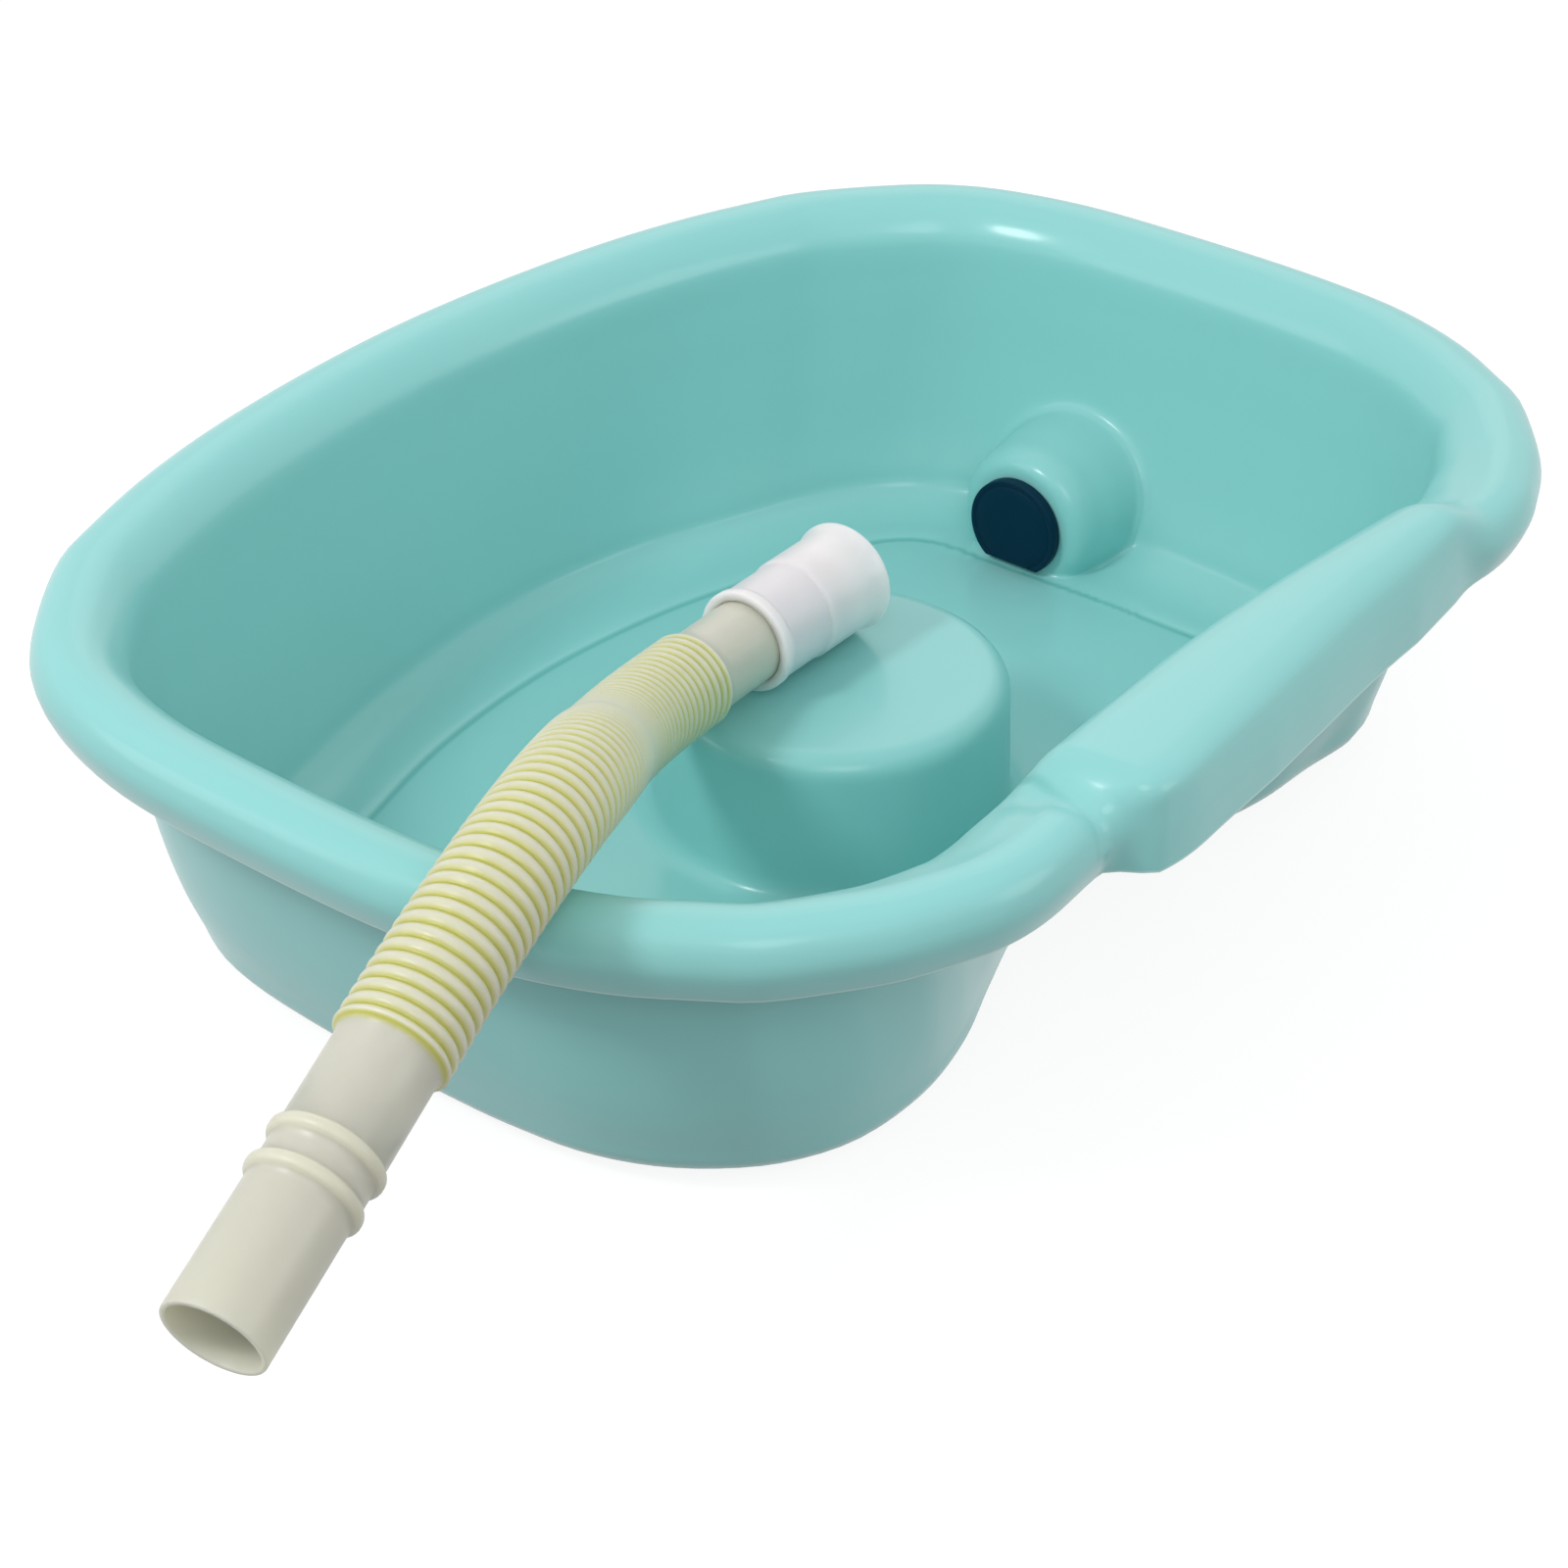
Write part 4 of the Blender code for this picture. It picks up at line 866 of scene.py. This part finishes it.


# Distances for the painted shade in the crease and the fold, and for the painted highlight on the skirt's
# edge.
gaps, strengths = shade_line_gap(points_of(bowl))
add_value(bowl, "shade_line_gap", gaps)
add_value(bowl, "shade_line_share", strengths)
add_value(bowl, "highlight_edge_gap", highlight_edge_gap(points_of(bowl)))
print("points near a line:", int((strengths > 0).sum()), "of", len(strengths))

# %% [markdown]
# ## The plug
# A rubber plug with a broad flange. The flange is cut flat at the bottom, so that it clears the floor, and
# its stem fills the drain. It is turned about the drain's axis, and every point of the flange that would
# lie below the flat is lifted onto it.

# %% Plug
PLUG_FIT, PLUG_RADIUS, PLUG_FLAT = 0.0003, 0.0206, 0.0163
PLUG_BEVEL, PLUG_AROUND, PLUG_SHARP = 0.0006, 144, math.radians(50)
PLUG_PROFILE = [
    (0.0, 0.0), (0.0156, 0.0), (0.0157, 0.0002), (0.0157, 0.0116), (0.0160, 0.012),
    (0.0175, 0.012), (0.0179, 0.0117), (0.01845, 0.0), (0.0201, -0.0001), (0.0205, -0.0004),
    (0.0206, -0.0008), (0.0206, -0.0040), (0.0205, -0.0044), (0.0203, -0.0047), (0.0199, -0.0048),
    (0.0186, -0.0048), (0.0184, -0.0046), (0.0181, -0.0045), (0.0178, -0.0046), (0.0176, -0.0048),
    (0.012, -0.0048), (0.006, -0.0048), (0.0, -0.0048),
]


def plug_ring(radius, along):
    turns = full_turn(PLUG_AROUND)
    x = BOSS_X + radius * np.cos(turns)
    rise = radius * np.sin(turns)
    y = np.full(PLUG_AROUND, BOSS_FACE_Y - PLUG_FIT + along)
    if along <= 0.0:
        rise = np.maximum(rise, min(PLUG_RADIUS - radius, PLUG_BEVEL) - PLUG_FLAT)
    return np.stack([x, y, BOSS_Z + rise], axis=1)


plug = outward(wrapped_grid("plug", [plug_ring(*spot) for spot in PLUG_PROFILE]))
bpy.ops.object.shade_smooth_by_angle(angle=PLUG_SHARP)
report(plug)

# %% [markdown]
# ## Materials
# Moulded plastic isn't one flat colour. Its pigment is slightly uneven, its gloss changes a little from
# place to place, and the mould leaves a faint texture. All four materials share that effect with their own
# values, so it is a node group with named inputs. The group puts out a colour, a roughness and a height,
# and each material feeds them to its own shader.

# %% Node helpers
def add_node(tree, kind, **settings):
    node = tree.nodes.new(kind)
    for name, value in settings.items():
        setattr(node, name, value)
    return node


def set_inputs(node, **values):
    for name, value in values.items():
        node.inputs[name.replace("_", " ")].default_value = value


def feed(tree, socket, value):
    """Joins another node's output to a socket, or sets a plain value on it."""
    if hasattr(value, "links"):
        tree.links.new(value, socket)
    else:
        socket.default_value = value


def mix_colours(tree, factor, first, second):
    node = add_node(tree, "ShaderNodeMix", data_type="RGBA")
    for place, value in ((0, factor), (6, first), (7, second)):
        feed(tree, node.inputs[place], value)
    return node.outputs[2]


def math_node(tree, operation, first, second):
    node = add_node(tree, "ShaderNodeMath", operation=operation)
    feed(tree, node.inputs[0], first)
    feed(tree, node.inputs[1], second)
    return node.outputs[0]


# %% Node group: moulded plastic
GROUP_INPUTS = (
    ("Colour", "NodeSocketColor"), ("Cloud Colour", "NodeSocketColor"), ("Cloud", "NodeSocketFloat"),
    ("Roughness", "NodeSocketFloat"), ("Gloss Change", "NodeSocketFloat"),
)
GROUP_OUTPUTS = (
    ("Colour", "NodeSocketColor"), ("Roughness", "NodeSocketFloat"), ("Height", "NodeSocketFloat"),
)
NOISES = ((9.0, 3.0, 0.5), (900.0, 2.0, 0.6), (28.0, 2.0, 0.5))
FINE_SHARE = 0.15


def moulded_group():
    group = bpy.data.node_groups.new("moulded_plastic", "ShaderNodeTree")
    for in_out, sockets in (("INPUT", GROUP_INPUTS), ("OUTPUT", GROUP_OUTPUTS)):
        for name, kind in sockets:
            group.interface.new_socket(name=name, in_out=in_out, socket_type=kind)
    entry = group.nodes.new("NodeGroupInput").outputs
    leave = group.nodes.new("NodeGroupOutput").inputs
    place_node = group.nodes.new("ShaderNodeTexCoord")
    noises = []
    for scale, detail, roughness in NOISES:
        noise = add_node(group, "ShaderNodeTexNoise")
        set_inputs(noise, Scale=scale, Detail=detail, Roughness=roughness)
        group.links.new(place_node.outputs["Object"], noise.inputs["Vector"])
        noises.append(noise.outputs["Fac"])
    cloud, fine, wave = noises
    amount = math_node(group, "MULTIPLY", cloud, entry["Cloud"])
    group.links.new(mix_colours(group, amount, entry["Colour"], entry["Cloud Colour"]), leave["Colour"])
    even_wave = math_node(group, "SUBTRACT", wave, 0.5)
    change = math_node(group, "MULTIPLY", even_wave, entry["Gloss Change"])
    group.links.new(math_node(group, "ADD", entry["Roughness"], change), leave["Roughness"])
    height = math_node(group, "ADD", math_node(group, "MULTIPLY", fine, FINE_SHARE), wave)
    group.links.new(height, leave["Height"])
    return group


MOULDED = moulded_group()
print("group", MOULDED.name, "has", len(MOULDED.nodes), "nodes")

# %% Material helper
BUMP_HEIGHT = 0.0004


def moulded_material(name, colour, cloud_colour, cloud, roughness, gloss_change, bump):
    material = bpy.data.materials.new(name)
    material.use_nodes = True
    tree = material.node_tree
    shader = tree.nodes["Principled BSDF"]
    effect = add_node(tree, "ShaderNodeGroup", node_tree=MOULDED)
    set_inputs(effect, Colour=(*colour, 1.0), Cloud_Colour=(*cloud_colour, 1.0), Cloud=cloud)
    set_inputs(effect, Roughness=roughness, Gloss_Change=gloss_change)
    relief = add_node(tree, "ShaderNodeBump")
    set_inputs(relief, Strength=bump, Distance=BUMP_HEIGHT)
    tree.links.new(effect.outputs["Colour"], shader.inputs["Base Color"])
    tree.links.new(effect.outputs["Roughness"], shader.inputs["Roughness"])
    tree.links.new(effect.outputs["Height"], relief.inputs["Height"])
    tree.links.new(relief.outputs["Normal"], shader.inputs["Normal"])
    return material, tree, shader, effect


# %% [markdown]
# The bowl's turquoise is a satin gloss: broad, soft highlights, and a slightly bluer cast in places. The
# plug is dark navy rubber with a faint sheen. The connector is milky plastic that lets a little light
# through, which Subsurface gives. The hose reads its rib attribute and mixes cream with olive by it.

# %% Materials
LIGHT_DEPTH = (0.01, 0.01, 0.008)
turquoise, turquoise_tree, turquoise_shader, turquoise_effect = moulded_material(
    "turquoise_plastic", (0.275, 0.62, 0.60), (0.245, 0.615, 0.61), 0.8, 0.38, 0.08, 0.10
)
navy, _, navy_shader, _ = moulded_material(
    "navy_rubber", (0.0, 0.022, 0.046), (0.0, 0.028, 0.056), 0.8, 0.5, 0.15, 0.3
)
milky, _, milky_shader, _ = moulded_material(
    "milky_plastic", (0.84, 0.775, 0.775), (0.79, 0.735, 0.735), 0.8, 0.34, 0.1, 0.2
)
cream, cream_tree, cream_shader, cream_effect = moulded_material(
    "cream_plastic", (0.64, 0.63, 0.50), (0.61, 0.61, 0.48), 0.8, 0.36, 0.1, 0.15
)
for shader, weight in ((milky_shader, 0.8), (cream_shader, 0.7)):
    set_inputs(shader, Subsurface_Weight=weight, Subsurface_Radius=LIGHT_DEPTH, Subsurface_Scale=1.0)
set_inputs(turquoise_shader, Specular_IOR_Level=0.2, Coat_Weight=0.4, Coat_Roughness=0.16)
set_inputs(navy_shader, Specular_IOR_Level=0.1)
print("materials", [material.name for material in (turquoise, navy, milky, cream)])

# %% Grooves of the hose
GROOVE_COLOUR, GROOVE_FALL = (0.50, 0.50, 0.08, 1.0), 1.6
rib_value = add_node(cream_tree, "ShaderNodeAttribute", attribute_name="rib")
curve = math_node(cream_tree, "POWER", rib_value.outputs["Fac"], GROOVE_FALL)
ribbed_colour = mix_colours(cream_tree, curve, GROOVE_COLOUR, cream_effect.outputs["Colour"])
cream_tree.links.new(ribbed_colour, cream_shader.inputs["Base Color"])
print("the hose mixes its cream with", GROOVE_COLOUR[:3])

# %% Painted shade lines and a painted edge highlight on the bowl
# The darker colour and the width of the painted shade in the floor's crease and the lip's fold.
SHADE_LINE_HALF, LINE_SHADE, SHADE_LINE_COLOUR = 0.0024, 0.7, (0.10, 0.42, 0.40, 1.0)
# The pale colour and the width of the painted highlight along the skirt's free edge.
EDGE_HIGHLIGHT_HALF, EDGE_HIGHLIGHT_AMOUNT, EDGE_HIGHLIGHT_COLOUR = 0.0011, 0.8, (0.62, 0.80, 0.77, 1.0)


def near_painted_line(attribute, half):
    """1 where the attribute's distance is 0, falling smoothly to 0 at half the line's width."""
    gap = add_node(turquoise_tree, "ShaderNodeAttribute", attribute_name=attribute)
    near = add_node(turquoise_tree, "ShaderNodeMapRange", interpolation_type="SMOOTHSTEP")
    size = math_node(turquoise_tree, "ABSOLUTE", gap.outputs["Fac"], 0.0)
    turquoise_tree.links.new(size, near.inputs["Value"])
    set_inputs(near, From_Min=0.0, From_Max=half, To_Min=1.0, To_Max=0.0)
    return near.outputs["Result"]


share = add_node(turquoise_tree, "ShaderNodeAttribute", attribute_name="shade_line_share")
# Painted shade: the crease and the fold are darkened in the base colour where shade falls in them.
painted_shade_mask = math_node(turquoise_tree, "MULTIPLY", near_painted_line("shade_line_gap", SHADE_LINE_HALF), share.outputs["Fac"])
shade = math_node(turquoise_tree, "MULTIPLY", painted_shade_mask, LINE_SHADE)
crease_shaded = mix_colours(turquoise_tree, shade, turquoise_effect.outputs["Colour"], SHADE_LINE_COLOUR)
# Painted highlight: a pale line is mixed into the colour along the skirt's free edge.
painted_highlight_mask = math_node(turquoise_tree, "MULTIPLY", near_painted_line("highlight_edge_gap", EDGE_HIGHLIGHT_HALF), EDGE_HIGHLIGHT_AMOUNT)
highlighted = mix_colours(turquoise_tree, painted_highlight_mask, crease_shaded, EDGE_HIGHLIGHT_COLOUR)
turquoise_tree.links.new(highlighted, turquoise_shader.inputs["Base Color"])
for made, material in ((bowl, turquoise), (plug, navy), (connector, milky), (hose, cream)):
    made.data.materials.clear()
    made.data.materials.append(material)
    print(made.name, "is made of", material.name)

# %% [markdown]
# ## Riding on the frame
# Each piece replaces the plain solid of the same part and rides on that part's body, so it moves when the
# plug is pulled or the hose is lifted. The hose keeps its real length, between the connector on the support
# and its bare mouth.

# %% Riding
for piece, body, node, material_slot in (
    (bowl, "basin", "basin_shell", "basin"),
    (plug, "plug", "drain_plug", "plug"),
    (hose, "hose", "drain_hose", "hose"),
    (connector, "hose", "hose_connector", "connector"),
):
    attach(piece, body)
    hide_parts(node)
print("the cord is", round(float(hose_route.length), 4), "m long")

# %% [markdown]
# ## Floor and light
# The photograph has a pure white background, and the basin's undersides are dark in it, so little light
# came up from below. A white floor would send too much. The floor is therefore mid grey for the light that
# it sends on, and rays from the camera, a reflection or a clear piece find an even white glow added to it,
# on which the shadow still shows. The world works the same way: white where it is seen, and softer as a
# light.

# %% Floor
def seen_directly(tree):
    """1 for camera, glossy and transmission rays, and 0 for the light that goes on to other surfaces."""
    path = add_node(tree, "ShaderNodeLightPath")
    seen = math_node(tree, "MAXIMUM", path.outputs["Is Camera Ray"], path.outputs["Is Glossy Ray"])
    return math_node(tree, "MAXIMUM", seen, path.outputs["Is Transmission Ray"])


FLOOR_GREY, FLOOR_GLOW, FLOOR_SIZE, FLOOR_DROP = 0.18, 0.88, 8.0, 0.0005
WHITE = (1.0, 1.0, 1.0, 1.0)
deselect()
bpy.ops.mesh.primitive_plane_add(size=FLOOR_SIZE, location=(0.0, 0.0, -FLOOR_DROP))
floor = bpy.context.object
floor.name = "floor"
floor_material = bpy.data.materials.new("white_floor")
floor_material.use_nodes = True
floor_tree = floor_material.node_tree
floor_shader = floor_tree.nodes["Principled BSDF"]
set_inputs(floor_shader, Base_Color=(FLOOR_GREY, FLOOR_GREY, FLOOR_GREY, 1.0), Roughness=0.9)
set_inputs(floor_shader, Specular_IOR_Level=0.0, Emission_Color=WHITE)
glow = math_node(floor_tree, "MULTIPLY", seen_directly(floor_tree), FLOOR_GLOW)
floor_tree.links.new(glow, floor_shader.inputs["Emission Strength"])
floor.data.materials.append(floor_material)
print("the floor is", FLOOR_SIZE, "m wide")

# %% World and lamps
WORLD_LIGHT = 0.68
LAMP_TARGET = Vector((0.0, 0.0, 0.05))
world = bpy.data.worlds.new("studio")
bpy.context.scene.world = world
world.use_nodes = True
world_tree = world.node_tree
background = world_tree.nodes["Background"]
set_inputs(background, Color=WHITE)
extra = math_node(world_tree, "MULTIPLY", seen_directly(world_tree), 1.0 - WORLD_LIGHT)
world_tree.links.new(math_node(world_tree, "ADD", extra, WORLD_LIGHT), background.inputs["Strength"])


def lamp(name, turn, height, reach, size, power):
    """A round soft lamp, placed by its turn from the camera and its height, in degrees, and its reach."""
    spot_turn = CAMERA_TURN + math.radians(turn)
    rise = math.radians(height)
    away = (math.cos(rise) * math.cos(spot_turn), math.cos(rise) * math.sin(spot_turn), math.sin(rise))
    data = bpy.data.lights.new(name, "AREA")
    data.shape = "DISK"
    data.size = size
    data.energy = power
    made = bpy.data.objects.new(name, data)
    bpy.context.scene.collection.objects.link(made)
    made.location = LAMP_TARGET + Vector(away) * reach
    made.rotation_euler = (-Vector(away)).to_track_quat("-Z", "Y").to_euler()
    return made


lamps = [
    lamp("key", -56, 46, 2.2, 0.45, 14),
    lamp("front", 8, 42, 2.4, 1.0, 8),
    lamp("left", -82, 20, 2.4, 1.2, 6),
    lamp("right", 74, 20, 2.4, 1.2, 7),
    lamp("back", 175, 38, 2.6, 1.6, 4),
]
bpy.context.scene.view_settings.view_transform = "Standard"
print("lamps", [made.name for made in lamps])
